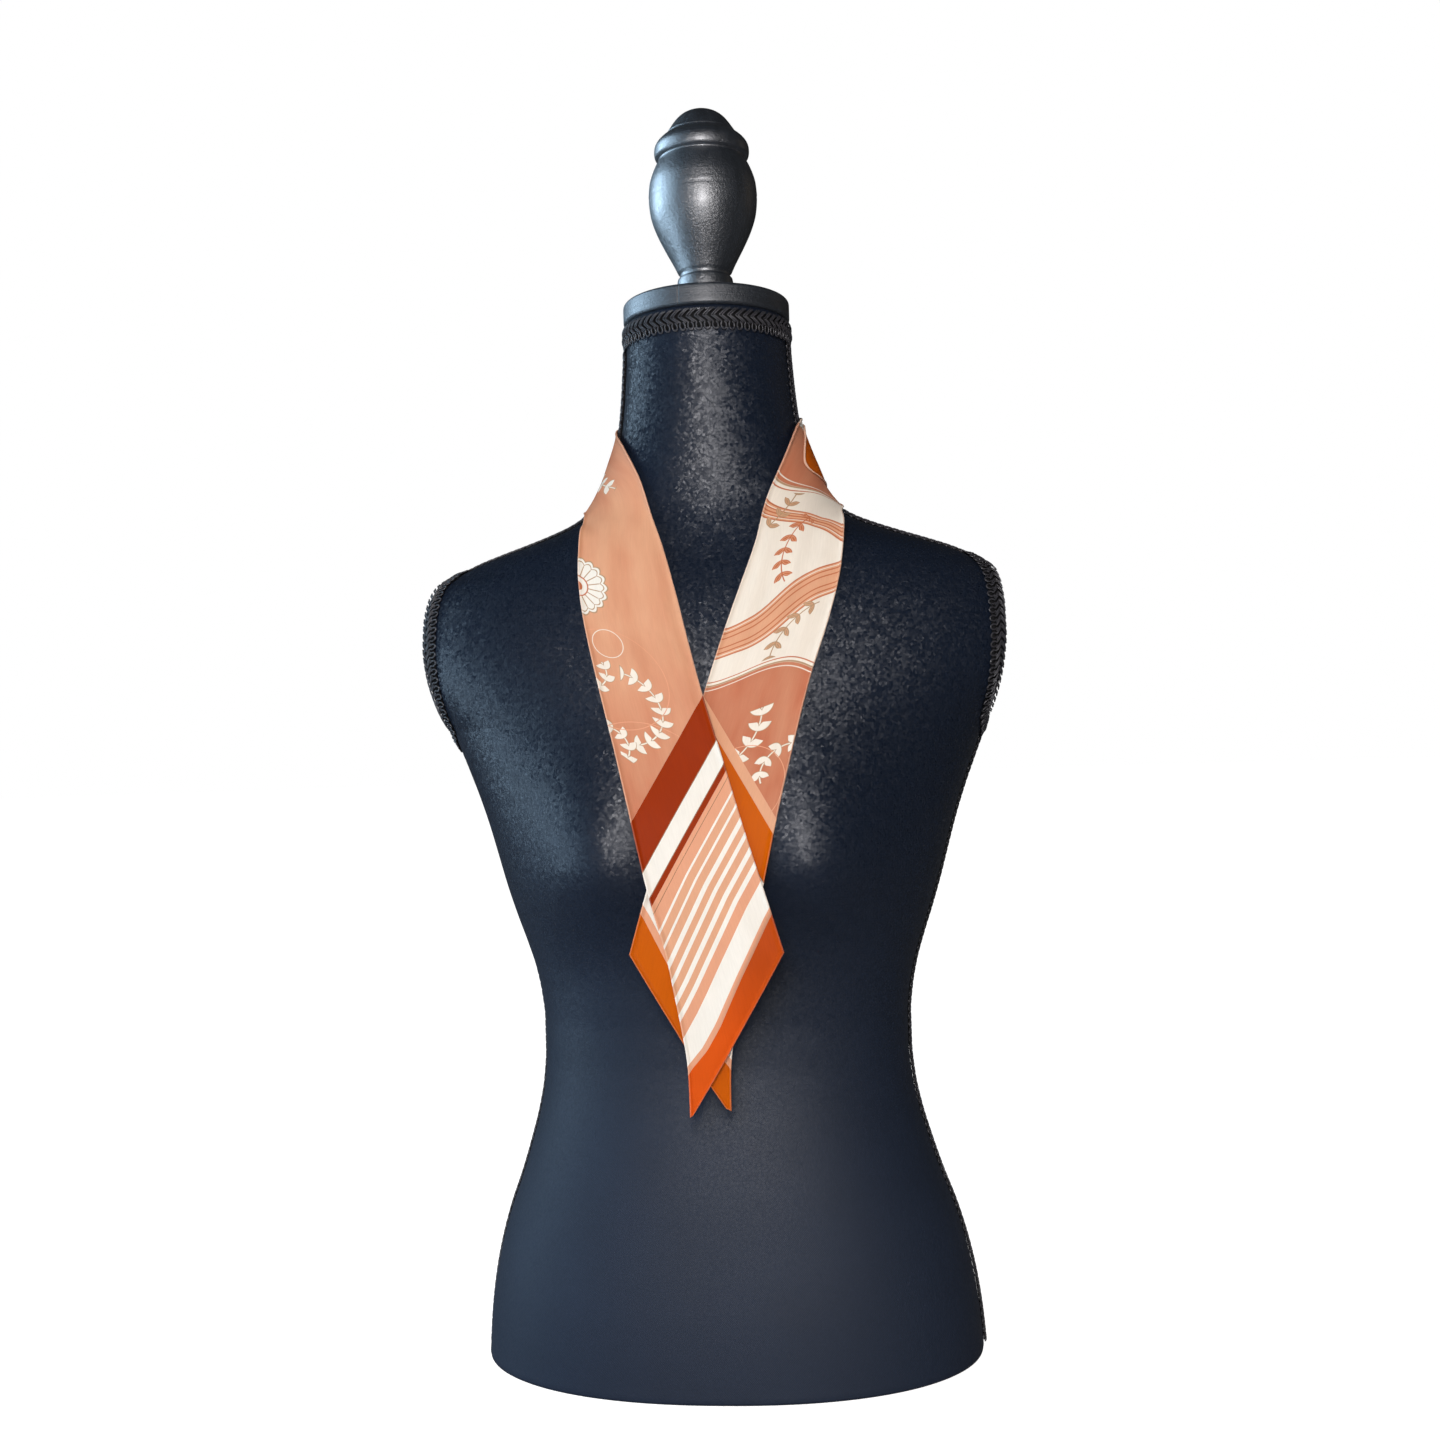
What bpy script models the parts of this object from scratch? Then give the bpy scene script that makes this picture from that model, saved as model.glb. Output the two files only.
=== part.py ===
"""Hair scarf on a limbless dress form.

A narrow silk scarf lies round the neck of a shop display form. Its two straps
come down the chest, cross below the neckline and hang as two slanted tails.
The form is covered in jersey, trimmed with gimp braid, and ends in a turned
cap and finial at the neck and in a flat base at the hips.

Units are metres with +Z up. The front faces -Y and the origin is the middle
of the flat base. Tables are in millimetres and degrees.
"""

from collections import namedtuple
from math import asin, cos, exp, pi, radians, sin, sqrt

import bmesh
import bpy
from mathutils import Vector

MM = 0.001
COLLECTION = "hair_scarf_on_dress_form"

# ---------------------------------------------------------------- the form
# Height of a level, half its width, and its depth to the front and the back.
Level = namedtuple("Level", "z half_width front back")
FORM_LEVELS = [
    Level(0, 147.4, 98.0, 104.0),
    Level(20, 145.8, 97.5, 105.5),
    Level(40, 143.2, 96.5, 105.5),
    Level(60, 139.2, 94.5, 103.0),
    Level(82, 133.0, 91.5, 98.0),
    Level(104, 125.0, 88.0, 91.5),
    Level(124, 118.6, 84.0, 85.0),
    Level(142, 113.6, 80.5, 79.5),
    Level(160, 110.2, 77.5, 75.5),
    Level(178, 108.8, 76.0, 72.5),
    Level(196, 108.8, 76.5, 71.5),
    Level(212, 110.4, 78.5, 72.0),
    Level(228, 113.6, 81.0, 73.5),
    Level(244, 118.4, 84.5, 76.0),
    Level(260, 123.8, 88.0, 78.5),
    Level(278, 129.4, 91.0, 81.0),
    Level(296, 134.4, 93.0, 83.0),
    Level(314, 139.6, 94.0, 84.5),
    Level(332, 145.6, 94.0, 85.5),
    Level(350, 152.4, 92.8, 86.0),
    Level(368, 159.4, 90.6, 86.2),
    Level(386, 165.6, 87.6, 85.8),
    Level(404, 169.6, 83.8, 84.6),
    Level(420, 171.2, 79.4, 82.6),
    Level(434, 171.2, 74.6, 80.0),
    Level(447, 170.0, 69.2, 77.0),
    Level(456, 167.2, 65.0, 74.4),
    Level(462, 161.8, 62.0, 72.2),
    Level(467, 153.6, 59.6, 70.2),
    Level(472, 142.6, 57.4, 68.0),
    Level(477, 128.2, 55.4, 65.8),
    Level(482, 112.6, 53.6, 63.6),
    Level(487, 98.2, 52.0, 61.6),
    Level(492, 86.2, 50.6, 59.8),
    Level(497, 78.0, 49.6, 58.4),
    Level(503, 71.8, 48.8, 57.0),
    Level(511, 66.6, 48.2, 55.6),
    Level(522, 61.9, 47.8, 54.2),
    Level(535, 57.4, 47.8, 53.0),
    Level(548, 53.8, 48.0, 52.0),
    Level(562, 51.8, 48.4, 51.0),
    Level(580, 50.2, 48.8, 50.0),
    Level(597, 49.2, 49.0, 49.2),
    Level(613.8, 49.0, 49.0, 49.0),
]
QUARTER_FACES = 11
FRONT_SQUARENESS = 2.2
BACK_SQUARENESS = 2.3
SHOULDER_TOP = 455.0
NECK_FOOT = 495.0

# The flat oval at each armhole, seen from the side.
ARMHOLE_Z = 417.0
ARMHOLE_HALF_HEIGHT = 46.0
ARMHOLE_HALF_DEPTH = 36.0

BUST_X = 62.0
BUST_Z = 293.0
BUST_RISE = 23.0
BUST_REACH_X = 42.0
BUST_REACH_UP = 54.0
BUST_REACH_DOWN = 36.0

# ------------------------------------------------------- turned neck pieces
CAP_BOTTOM = 614.1
CAP_TOP = 627.0
CAP_RADIUS = 50.6
CAP_EDGE = 2.4
CAP_EDGE_STEPS = 3
FINIAL_BOTTOM = 627.3
FINIAL_TIP = 0.6
TURNED_STEPS = 36

# Radius of the finial at a height above its foot.
Turning = namedtuple("Turning", "z radius")
FINIAL_PROFILE = [
    Turning(119.4, 6.0),
    Turning(117.6, 13.1),
    Turning(113.6, 18.6),
    Turning(108.0, 22.2),
    Turning(103.0, 23.4),
    Turning(101.4, 23.0),
    Turning(99.6, 25.6),
    Turning(96.0, 28.8),
    Turning(91.6, 30.0),
    Turning(87.4, 28.8),
    Turning(85.2, 26.4),
    Turning(83.8, 26.8),
    Turning(79.0, 31.2),
    Turning(72.0, 33.4),
    Turning(64.0, 33.7),
    Turning(54.0, 31.6),
    Turning(42.0, 27.0),
    Turning(31.0, 21.6),
    Turning(23.0, 17.6),
    Turning(18.6, 16.2),
    Turning(16.4, 16.2),
    Turning(14.4, 16.8),
    Turning(9.0, 17.4),
    Turning(0.0, 17.4),
]

# ---------------------------------------------------------------- gimp braid
BRAID_WIDTH = 8.0
BRAID_THICKNESS = 1.4
BRAID_CHAMFER = 1.0
BRAID_CLEARANCE = 0.9
NECK_BRAID_BOTTOM = 599.0
NECK_BRAID_TOP = 612.6
NECK_BRAID_INNER = 49.8
NECK_BRAID_OUTER = 51.2

ARMHOLE_BRAID_WIDTH = 12.0
ARMHOLE_BRAID_INSET = 1.2
ARMHOLE_STEPS = 36

SHOULDER_BRAID_HIGH = 596.0
SHOULDER_BRAID_LOW = 470.5
SHOULDER_BRAID_STEPS = 24
SIDE_BRAID_HIGH = 357.5
SIDE_BRAID_LOW = 2.0
SIDE_BRAID_STEPS = 24

# ---------------------------------------------------------------- the scarf
SCARF_WALL = 1.0
SCARF_CLEARANCE = 0.6
SCARF_OVER_BRAID = 2.9
SCARF_LAYER = 2.7
LAYER_FADE_LOW = 395.0
LAYER_FADE_HIGH = 425.0
BRAID_FADE_LOW = 440.0
BRAID_FADE_HIGH = 470.0
SEAM_GAP = 0.5
SCARF_COLUMNS = 6
ROWS_PER_STATION = 3

# How far forward the cloth hangs where it bridges the chest and falls free.
Fall = namedtuple("Fall", "z depth")
FALL_LINE = [
    Fall(130, 111.0),
    Fall(200, 111.0),
    Fall(250, 110.8),
    Fall(275, 109.8),
    Fall(300, 106.8),
    Fall(320, 103.0),
    Fall(340, 98.6),
    Fall(360, 93.8),
    Fall(380, 88.4),
    Fall(400, 82.4),
    Fall(430, 70.0),
    Fall(470, 45.0),
]

# Both edges of a strap, seen from the front, from the neck to the tail: the
# strap of the viewer's right, which the other mirrors. The inner edge is the
# one beside the neckline, and the last rows are the slanting end.
Front = namedtuple("Front", "inner_x inner_z outer_x outer_z")
STRAP = [
    Front(26.0, 471.0, 77.4, 482.0),
    Front(17.2, 443.0, 73.8, 453.0),
    Front(8.8, 415.0, 66.6, 425.0),
    Front(0.0, 385.3, 58.3, 393.0),
    Front(-10.5, 350.5, 48.8, 355.0),
    Front(-21.0, 314.6, 39.5, 317.0),
    Front(-32.4, 277.8, 30.8, 279.0),
    Front(-41.8, 246.2, 22.2, 248.0),
    Front(-30.8, 227.0, 17.8, 225.0),
    Front(-18.2, 205.6, 14.2, 205.0),
    Front(-5.6, 184.2, 11.6, 186.0),
    Front(6.8, 163.4, 11.2, 162.6),
]

# How far the top of both straps lies over to the viewer's right.
STRAP_DRIFT = 2.9
DRIFT_LOW = 380.0
DRIFT_HIGH = 480.0

# Both edges of the stretch round the neck, from the viewer's left over the
# back to the right: angle from the front, and height.
Round = namedtuple("Round", "inner_angle inner_z outer_angle outer_z")
ROUND_NECK = [
    Round(-33.0, 489.0, -63.0, 492.5),
    Round(-45.0, 515.0, -77.0, 497.0),
    Round(-61.0, 536.0, -91.0, 498.0),
    Round(-85.0, 551.0, -107.0, 499.0),
    Round(-113.0, 557.0, -127.0, 500.0),
    Round(-143.0, 559.0, -149.0, 501.0),
    Round(-175.0, 560.0, -175.0, 503.0),
    Round(-207.0, 560.0, -201.0, 506.0),
    Round(-237.0, 559.0, -225.0, 509.0),
    Round(-265.0, 556.0, -245.0, 508.0),
    Round(-289.0, 546.0, -263.0, 503.0),
    Round(-306.0, 526.0, -275.0, 497.0),
    Round(-322.0, 498.0, -290.0, 491.0),
]
LEFT_SEAM = len(STRAP) + 3
RIGHT_SEAM = len(STRAP) + 9

# The edge turned up beside the neck, on the viewer's right: its free edge and
# its fold, each as stations past the seam and a share of the way across.
Turned = namedtuple("Turned", "free_station free_share fold_station fold_share")
TURNED_EDGE = [
    Turned(0.50, 0.89, 0.25, 0.97),
    Turned(1.15, 0.67, -0.05, 0.97),
    Turned(1.50, 0.43, -0.35, 0.97),
    Turned(1.50, 0.28, -0.65, 0.97),
    Turned(1.25, 0.22, -0.95, 0.97),
    Turned(0.75, 0.17, -1.20, 0.97),
    Turned(0.15, 0.08, -1.50, 0.97),
    Turned(-0.55, 0.12, -1.80, 0.97),
    Turned(-1.30, 0.36, -2.05, 0.97),
    Turned(-2.00, 0.70, -2.35, 0.97),
]
TURNED_COLUMNS = 8
ROWS_PER_TURNING = 2
TURNED_LAYER = 1.0

# ---------------------------------------------------------------- colours
JERSEY_NAVY = (0.012, 0.015, 0.024, 1.0)
PAINT_BLACK = (0.010, 0.011, 0.014, 1.0)
BRAID_BLACK = (0.008, 0.008, 0.010, 1.0)
SILK_PEACH = (0.72, 0.30, 0.17, 1.0)
SILK_RUST = (0.46, 0.08, 0.02, 1.0)
SILK_AMBER = (0.60, 0.19, 0.01, 1.0)


def material(name, colour, roughness, metallic=0.0):
    """A plain surface of one colour."""
    made = bpy.data.materials.new(name)
    made.use_nodes = True
    shader = made.node_tree.nodes["Principled BSDF"]
    shader.inputs["Base Color"].default_value = colour
    shader.inputs["Roughness"].default_value = roughness
    shader.inputs["Metallic"].default_value = metallic
    made.diffuse_color = colour
    return made


def clear_scene():
    """Removes whatever the file opened with."""
    for thing in list(bpy.data.objects):
        bpy.data.objects.remove(thing, do_unlink=True)


def place(name, mesh, surface):
    """Adds a mesh as an object of the part, with its material."""
    thing = bpy.data.objects.new(name, mesh)
    thing.data.materials.append(surface)
    bpy.data.collections[COLLECTION].objects.link(thing)
    return thing


# ------------------------------------------------------------ interpolation
def slope_between(left, right):
    """The gentler of two slopes that keeps a curve free of overshoot."""
    if left * right <= 0.0:
        return 0.0
    return 2.0 * left * right / (left + right)


def smooth_value(rows, position, column):
    """A column of a table at a position, on a smooth curve without bumps."""
    keys = [row[0] for row in rows]
    values = [getattr(row, column) for row in rows]
    position = min(max(position, keys[0]), keys[-1])
    slot = max(i for i in range(len(keys) - 1) if keys[i] <= position or i == 0)
    gaps = [b - a for a, b in zip(keys, keys[1:])]
    rises = [(b - a) / gap for a, b, gap in zip(values, values[1:], gaps)]

    def slope(i):
        if i == 0:
            return rises[0]
        if i == len(keys) - 1:
            return rises[-1]
        return slope_between(rises[i - 1], rises[i])

    gap = gaps[slot]
    t = (position - keys[slot]) / gap
    return (
        values[slot] * (1 + 2 * t) * (1 - t) ** 2
        + slope(slot) * gap * t * (1 - t) ** 2
        + values[slot + 1] * t * t * (3 - 2 * t)
        + slope(slot + 1) * gap * t * t * (t - 1)
    )


def fade(value, low, high):
    """Rises smoothly from 0 at low to 1 at high."""
    t = min(max((value - low) / (high - low), 0.0), 1.0)
    return t * t * (3 - 2 * t)


def curve_point(points, position):
    """A point on a smooth curve through points, at a position in rows."""
    slot = min(int(position), len(points) - 2)
    t = position - slot
    before = points[max(slot - 1, 0)]
    start = points[slot]
    end = points[slot + 1]
    after = points[min(slot + 2, len(points) - 1)]
    return 0.5 * (
        2 * start
        + (end - before) * t
        + (2 * before - 5 * start + 4 * end - after) * t * t
        + (3 * start - before - 3 * end + after) * t * t * t
    )


# ------------------------------------------------------ surface of the form
Section = namedtuple("Section", "half_width front back full_front full_back")
SECTIONS = {}


def squareness(z, full):
    """Sections are round at the neck and squarer below the shoulders."""
    return 2.0 + (full - 2.0) * (1.0 - fade(z, SHOULDER_TOP, NECK_FOOT))


def full_width(half_width, depth, z, square):
    """Half width that a section would have without the flat armholes."""
    rise = 1.0 - ((z - ARMHOLE_Z) / ARMHOLE_HALF_HEIGHT) ** 2
    if rise <= 0.0:
        return half_width
    power = squareness(z, square)
    flat = ARMHOLE_HALF_DEPTH * sqrt(rise) / depth
    return half_width / (1.0 - flat**power) ** (1.0 / power)


def section(z):
    """The sizes of the form's horizontal section at a height."""
    key = round(z, 3)
    if key not in SECTIONS:
        half_width = smooth_value(FORM_LEVELS, z, "half_width")
        front = smooth_value(FORM_LEVELS, z, "front")
        back = smooth_value(FORM_LEVELS, z, "back")
        SECTIONS[key] = Section(
            half_width,
            front,
            back,
            full_width(half_width, front, z, FRONT_SQUARENESS),
            full_width(half_width, back, z, BACK_SQUARENESS),
        )
    return SECTIONS[key]


def bust(x, z):
    """How far the bust stands forward of the plain section."""
    reach_z = BUST_REACH_UP if z > BUST_Z else BUST_REACH_DOWN
    fall_z = ((z - BUST_Z) / reach_z) ** 2
    fall_x = ((abs(x) - BUST_X) / BUST_REACH_X) ** 2
    return BUST_RISE * exp(-fall_x - fall_z)


def side_share(x, y, z):
    """1 on the flat of an armhole, less nearer the middle."""
    return abs(x) / section(z).half_width


def round_share(x, y, z):
    """1 on the rounded front and back of the form, less inside."""
    sizes = section(z)
    if y < 0.0:
        power = squareness(z, FRONT_SQUARENESS)
        width = sizes.full_front
        depth = max(-y - bust(x, z), 0.0) / sizes.front
    else:
        power = squareness(z, BACK_SQUARENESS)
        width = sizes.full_back
        depth = y / sizes.back
    return ((abs(x) / width) ** power + depth**power) ** (1.0 / power)


def outwardness(x, y, z):
    """1 on the form's surface, less inside it and more outside."""
    return max(side_share(x, y, z), round_share(x, y, z))


def front_depth(x, z):
    """Distance of the form's front from the middle plane, at x and z."""
    sizes = section(z)
    power = squareness(z, FRONT_SQUARENESS)
    share = max(1.0 - (abs(x) / sizes.full_front) ** power, 0.0)
    return sizes.front * share ** (1.0 / power) + bust(x, z)


def point_at_angle(angle, z):
    """The form's surface at an angle from the front and a height."""
    across, ahead = sin(radians(angle)), -cos(radians(angle))
    low, high = 1.0, 260.0
    for _ in range(34):
        middle = 0.5 * (low + high)
        if outwardness(across * middle, ahead * middle, z) < 1.0:
            low = middle
        else:
            high = middle
    return Vector((across * low, ahead * low, z))


def steepest(share, point):
    """The gradient of a share of the form's surface at a point."""
    step = 0.6
    x, y, z = point
    return Vector(
        (
            share(x + step, y, z) - share(x - step, y, z),
            share(x, y + step, z) - share(x, y - step, z),
            share(x, y, z + step) - share(x, y, z - step),
        )
    ) / (2 * step)


def outward(point, share=outwardness):
    """The direction straight out of the form's surface near a point."""
    return steepest(share, point).normalized()


def push_clear(point, clearance):
    """Moves a point out until it is a clearance away from the form."""
    for _ in range(6):
        gradient = steepest(outwardness, point)
        steepness = max(gradient.length, 1e-6)
        distance = (outwardness(*point) - 1.0) / steepness
        if distance >= clearance - 0.01:
            break
        point = point + gradient / steepness * (clearance - distance)
    return point


def set_above(point, share, height):
    """Moves a point in or out until it is at a height above a surface."""
    for _ in range(6):
        gradient = steepest(share, point)
        distance = (share(*point) - 1.0) / gradient.length
        point = point + gradient / gradient.length * (height - distance)
    return point


# ------------------------------------------------------------------ meshes
def faces_between_rings(mesh, rings, closed_rings=True):
    """Joins neighbouring rings of vertices with four-sided faces."""
    for lower, upper in zip(rings, rings[1:]):
        count = len(lower)
        for i in range(count if closed_rings else count - 1):
            j = (i + 1) % count
            mesh.faces.new((lower[i], lower[j], upper[j], upper[i]))


def finished(mesh, name):
    """Turns a bmesh into mesh data with its faces pointing out."""
    bmesh.ops.recalc_face_normals(mesh, faces=mesh.faces)
    data = bpy.data.meshes.new(name)
    mesh.to_mesh(data)
    mesh.free()
    return data


def quarter_section(z, full, depth, square, ahead):
    """Points of a quarter section, from the middle of the front or back."""
    half_width = section(z).half_width
    power = squareness(z, square)
    rim = asin((half_width / full) ** (power / 2.0))
    rounded = QUARTER_FACES - 2
    rim = min(rim, pi / 2 * rounded / QUARTER_FACES)
    turns = [rim * i / rounded for i in range(rounded)]
    turns += [rim, 0.5 * (rim + pi / 2)]
    points = []
    for turn in turns:
        x = min(full * sin(turn) ** (2.0 / power), half_width)
        y = depth * cos(turn) ** (2.0 / power)
        if ahead:
            y += bust(x, z) * fade(cos(turn), 0.0, 0.25)
        points.append(Vector((x, -y if ahead else y, z)))
    return points


def form_ring(z):
    """The points of one horizontal section of the form."""
    sizes = section(z)
    front = quarter_section(z, sizes.full_front, sizes.front, FRONT_SQUARENESS, True)
    back = quarter_section(z, sizes.full_back, sizes.back, BACK_SQUARENESS, False)
    right = front + [Vector((sizes.half_width, 0.0, z))] + back[::-1]
    left = [Vector((-point.x, point.y, z)) for point in right[-2:0:-1]]
    return right + left


def build_form(jersey):
    """The body and neck of the form, one closed loft of its levels."""
    mesh = bmesh.new()
    rings = [
        [mesh.verts.new(point * MM) for point in form_ring(row.z)]
        for row in FORM_LEVELS
    ]
    faces_between_rings(mesh, rings)
    mesh.faces.new(rings[0])
    mesh.faces.new(rings[-1])
    place("form_body", finished(mesh, "form_body"), jersey)


def build_turned(name, profile, surface):
    """Turns a closed or axis-ended profile round the upright axis."""
    data = bpy.data.meshes.new(name)
    points = [(radius * MM, 0.0, z * MM) for z, radius in profile]
    edges = [(i, i + 1) for i in range(len(points) - 1)]
    if profile[0][1] > 0.0:
        edges.append((len(points) - 1, 0))
    data.from_pydata(points, edges, [])
    thing = place(name, data, surface)
    turn = thing.modifiers.new("turn", "SCREW")
    turn.steps = TURNED_STEPS
    turn.render_steps = TURNED_STEPS
    turn.use_merge_vertices = True
    turn.merge_threshold = 0.00005
    turn.use_normal_calculate = profile[0][1] == 0.0


def build_cap(paint):
    """The round wooden cap on the neck, its rim rounded over."""
    rim = []
    for i in range(CAP_EDGE_STEPS + 1):
        angle = pi / 2 * i / CAP_EDGE_STEPS
        drop = CAP_EDGE * (1 - cos(angle))
        rim.append((drop, CAP_RADIUS - CAP_EDGE * (1 - sin(angle))))
    profile = [(CAP_TOP, 0.0)]
    profile += [(CAP_TOP - drop, radius) for drop, radius in rim]
    profile += [(CAP_BOTTOM + drop, radius) for drop, radius in reversed(rim)]
    profile.append((CAP_BOTTOM, 0.0))
    build_turned("neck_cap", profile, paint)


def build_finial(paint):
    """The turned finial: dome, bead, vase and foot."""
    top = FINIAL_BOTTOM + FINIAL_PROFILE[0].z + FINIAL_TIP
    profile = [(top, 0.0)]
    profile += [(FINIAL_BOTTOM + row.z, row.radius) for row in FINIAL_PROFILE]
    profile.append((FINIAL_BOTTOM, 0.0))
    build_turned("finial", profile, paint)


def build_neck_braid(braid):
    """The ring of wide braid under the cap."""
    profile = [
        (NECK_BRAID_TOP, NECK_BRAID_OUTER),
        (NECK_BRAID_BOTTOM, NECK_BRAID_OUTER + 0.2),
        (NECK_BRAID_BOTTOM, NECK_BRAID_INNER + 0.2),
        (NECK_BRAID_TOP, NECK_BRAID_INNER),
    ]
    build_turned("neck_braid", profile, braid)


def braid_section(point, direction, width, inset, share):
    """The corners of a flat braid lying on the form at a point."""
    side = direction.cross(outward(point, share)).normalized()
    middle = inset + width / 2 if inset else 0.0
    reach = width / 2
    top = BRAID_CLEARANCE + BRAID_THICKNESS
    edge = reach - BRAID_CHAMFER
    return [
        set_above(point + side * (middle + across), share, height)
        for across, height in (
            (-reach, BRAID_CLEARANCE),
            (0.0, BRAID_CLEARANCE),
            (reach, BRAID_CLEARANCE),
            (edge, top),
            (0.0, top),
            (-edge, top),
        )
    ]


def build_braid(name, path, width, surface, inset=0.0):
    """A flat braid on a path over the form, or round and outside a rim."""
    mesh = bmesh.new()
    closed = inset > 0.0
    share = round_share if closed else outwardness
    last = len(path) - 1
    rings = []
    for i, point in enumerate(path):
        before = path[i - 1] if i or closed else point
        after = path[(i + 1) % len(path)] if i < last or closed else point
        corners = braid_section(point, after - before, width, inset, share)
        rings.append([mesh.verts.new(corner * MM) for corner in corners])
    if closed:
        faces_between_rings(mesh, rings + rings[:1])
    else:
        faces_between_rings(mesh, rings)
        mesh.faces.new(rings[0])
        mesh.faces.new(rings[-1])
    place(name, finished(mesh, name), surface)


def side_path(side, high, low, steps):
    """Points down the side of the form, evenly spaced along it."""
    fine = [
        point_at_angle(90.0 * side, high + (low - high) * i / 400.0)
        for i in range(401)
    ]
    lengths = [0.0]
    for a, b in zip(fine, fine[1:]):
        lengths.append(lengths[-1] + (b - a).length)
    wanted = [lengths[-1] * i / steps for i in range(steps + 1)]
    return [
        min(zip(lengths, fine), key=lambda pair: abs(pair[0] - length))[1]
        for length in wanted
    ]


def armhole_path(side):
    """Points round the rim of an armhole."""
    path = []
    for i in range(ARMHOLE_STEPS):
        turn = 2 * pi * i / ARMHOLE_STEPS * side
        z = ARMHOLE_Z + ARMHOLE_HALF_HEIGHT * sin(turn)
        path.append(
            Vector((side * section(z).half_width, ARMHOLE_HALF_DEPTH * cos(turn), z))
        )
    return path


def build_braids(braid):
    """All the gimp braid that trims the form."""
    build_neck_braid(braid)
    for side, hand in ((1, "left"), (-1, "right")):
        shoulder = side_path(
            side, SHOULDER_BRAID_HIGH, SHOULDER_BRAID_LOW, SHOULDER_BRAID_STEPS
        )
        build_braid(f"shoulder_braid_{hand}", shoulder, BRAID_WIDTH, braid)
        build_braid(
            f"armhole_braid_{hand}",
            armhole_path(side),
            ARMHOLE_BRAID_WIDTH,
            braid,
            ARMHOLE_BRAID_INSET,
        )
        seam = side_path(side, SIDE_BRAID_HIGH, SIDE_BRAID_LOW, SIDE_BRAID_STEPS)
        build_braid(f"side_braid_{hand}", seam, BRAID_WIDTH, braid)


# ------------------------------------------------------------------- scarf
def scarf_lift(z, on_top):
    """Clearance of the cloth from the form at a height."""
    over_braid = fade(z, BRAID_FADE_LOW, BRAID_FADE_HIGH)
    lift = SCARF_CLEARANCE + (SCARF_OVER_BRAID - SCARF_CLEARANCE) * over_braid
    if on_top:
        lift += SCARF_LAYER * (1.0 - fade(z, LAYER_FADE_LOW, LAYER_FADE_HIGH))
    return lift


def hang_point(x, z, on_top):
    """A point of the cloth on the chest, or hanging free below it."""
    x += STRAP_DRIFT * fade(z, DRIFT_LOW, DRIFT_HIGH)
    lift = scarf_lift(z, on_top)
    on_form = push_clear(Vector((x, -front_depth(x, z) - lift, z)), lift)
    fall = smooth_value(FALL_LINE, z, "depth") + lift
    return Vector((x, min(on_form.y, -fall), z))


def neck_point(angle, z):
    """A point of the cloth round the neck."""
    return push_clear(point_at_angle(angle, z), scarf_lift(z, False))


def settle(point, on_top):
    """Keeps a point between two stations clear of the form."""
    lift = scarf_lift(point.z, on_top)
    point = push_clear(point, lift)
    if point.y < 0.0 and point.z < LAYER_FADE_HIGH:
        fall = smooth_value(FALL_LINE, point.z, "depth") + lift
        point.y = min(point.y, -fall)
    return point


def scarf_edges():
    """Both edges of the whole scarf, from the left tail to the right one."""
    left = [
        (
            hang_point(-row.inner_x, row.inner_z, True),
            hang_point(-row.outer_x, row.outer_z, True),
        )
        for row in reversed(STRAP)
    ]
    neck = [
        (
            neck_point(row.inner_angle, row.inner_z),
            neck_point(row.outer_angle, row.outer_z),
        )
        for row in ROUND_NECK
    ]
    right = [
        (
            hang_point(row.inner_x, row.inner_z, False),
            hang_point(row.outer_x, row.outer_z, False),
        )
        for row in STRAP
    ]
    stations = left + neck + right
    return [pair[0] for pair in stations], [pair[1] for pair in stations]


def scarf_point(edges, station, share):
    """A point of the cloth, some way along it and some way across it."""
    start = curve_point(edges[0], station)
    end = curve_point(edges[1], station)
    return settle(start.lerp(end, share), station < LEFT_SEAM)


def strip_rows(edges, first, last):
    """Rows of points across the cloth from one station to another."""
    steps = (last - first) * ROWS_PER_STATION
    shares = [j / SCARF_COLUMNS for j in range(SCARF_COLUMNS + 1)]
    return [
        [scarf_point(edges, first + i / ROWS_PER_STATION, share) for share in shares]
        for i in range(steps + 1)
    ]


def draw_in(end_row, next_row):
    """Moves the last row of a stretch back from the stretch it meets."""
    for point, inside in zip(end_row, next_row):
        point += (inside - point).normalized() * SEAM_GAP


def build_cloth(name, rows, surface):
    """A wall of cloth on a grid of points, thickened away from the form."""
    mesh = bmesh.new()
    grid = [[mesh.verts.new(point * MM) for point in row] for row in rows]
    faces_between_rings(mesh, grid, closed_rings=False)
    mesh.normal_update()
    middle = grid[len(grid) // 2][len(grid[0]) // 2]
    if middle.normal.dot(outward(middle.co / MM)) < 0.0:
        bmesh.ops.reverse_faces(mesh, faces=mesh.faces)
    data = bpy.data.meshes.new(name)
    mesh.to_mesh(data)
    mesh.free()
    thing = place(name, data, surface)
    wall = thing.modifiers.new("wall", "SOLIDIFY")
    wall.thickness = SCARF_WALL * MM
    wall.offset = 1.0
    wall.use_quality_normals = True


def above_scarf(edges, station, share, height):
    """A point at a height above the cloth."""
    step = 0.05
    here = scarf_point(edges, station, share)
    along = scarf_point(edges, station + step, share) - here
    across = scarf_point(edges, station, share - step) - here
    return here + across.cross(along).normalized() * height


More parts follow.
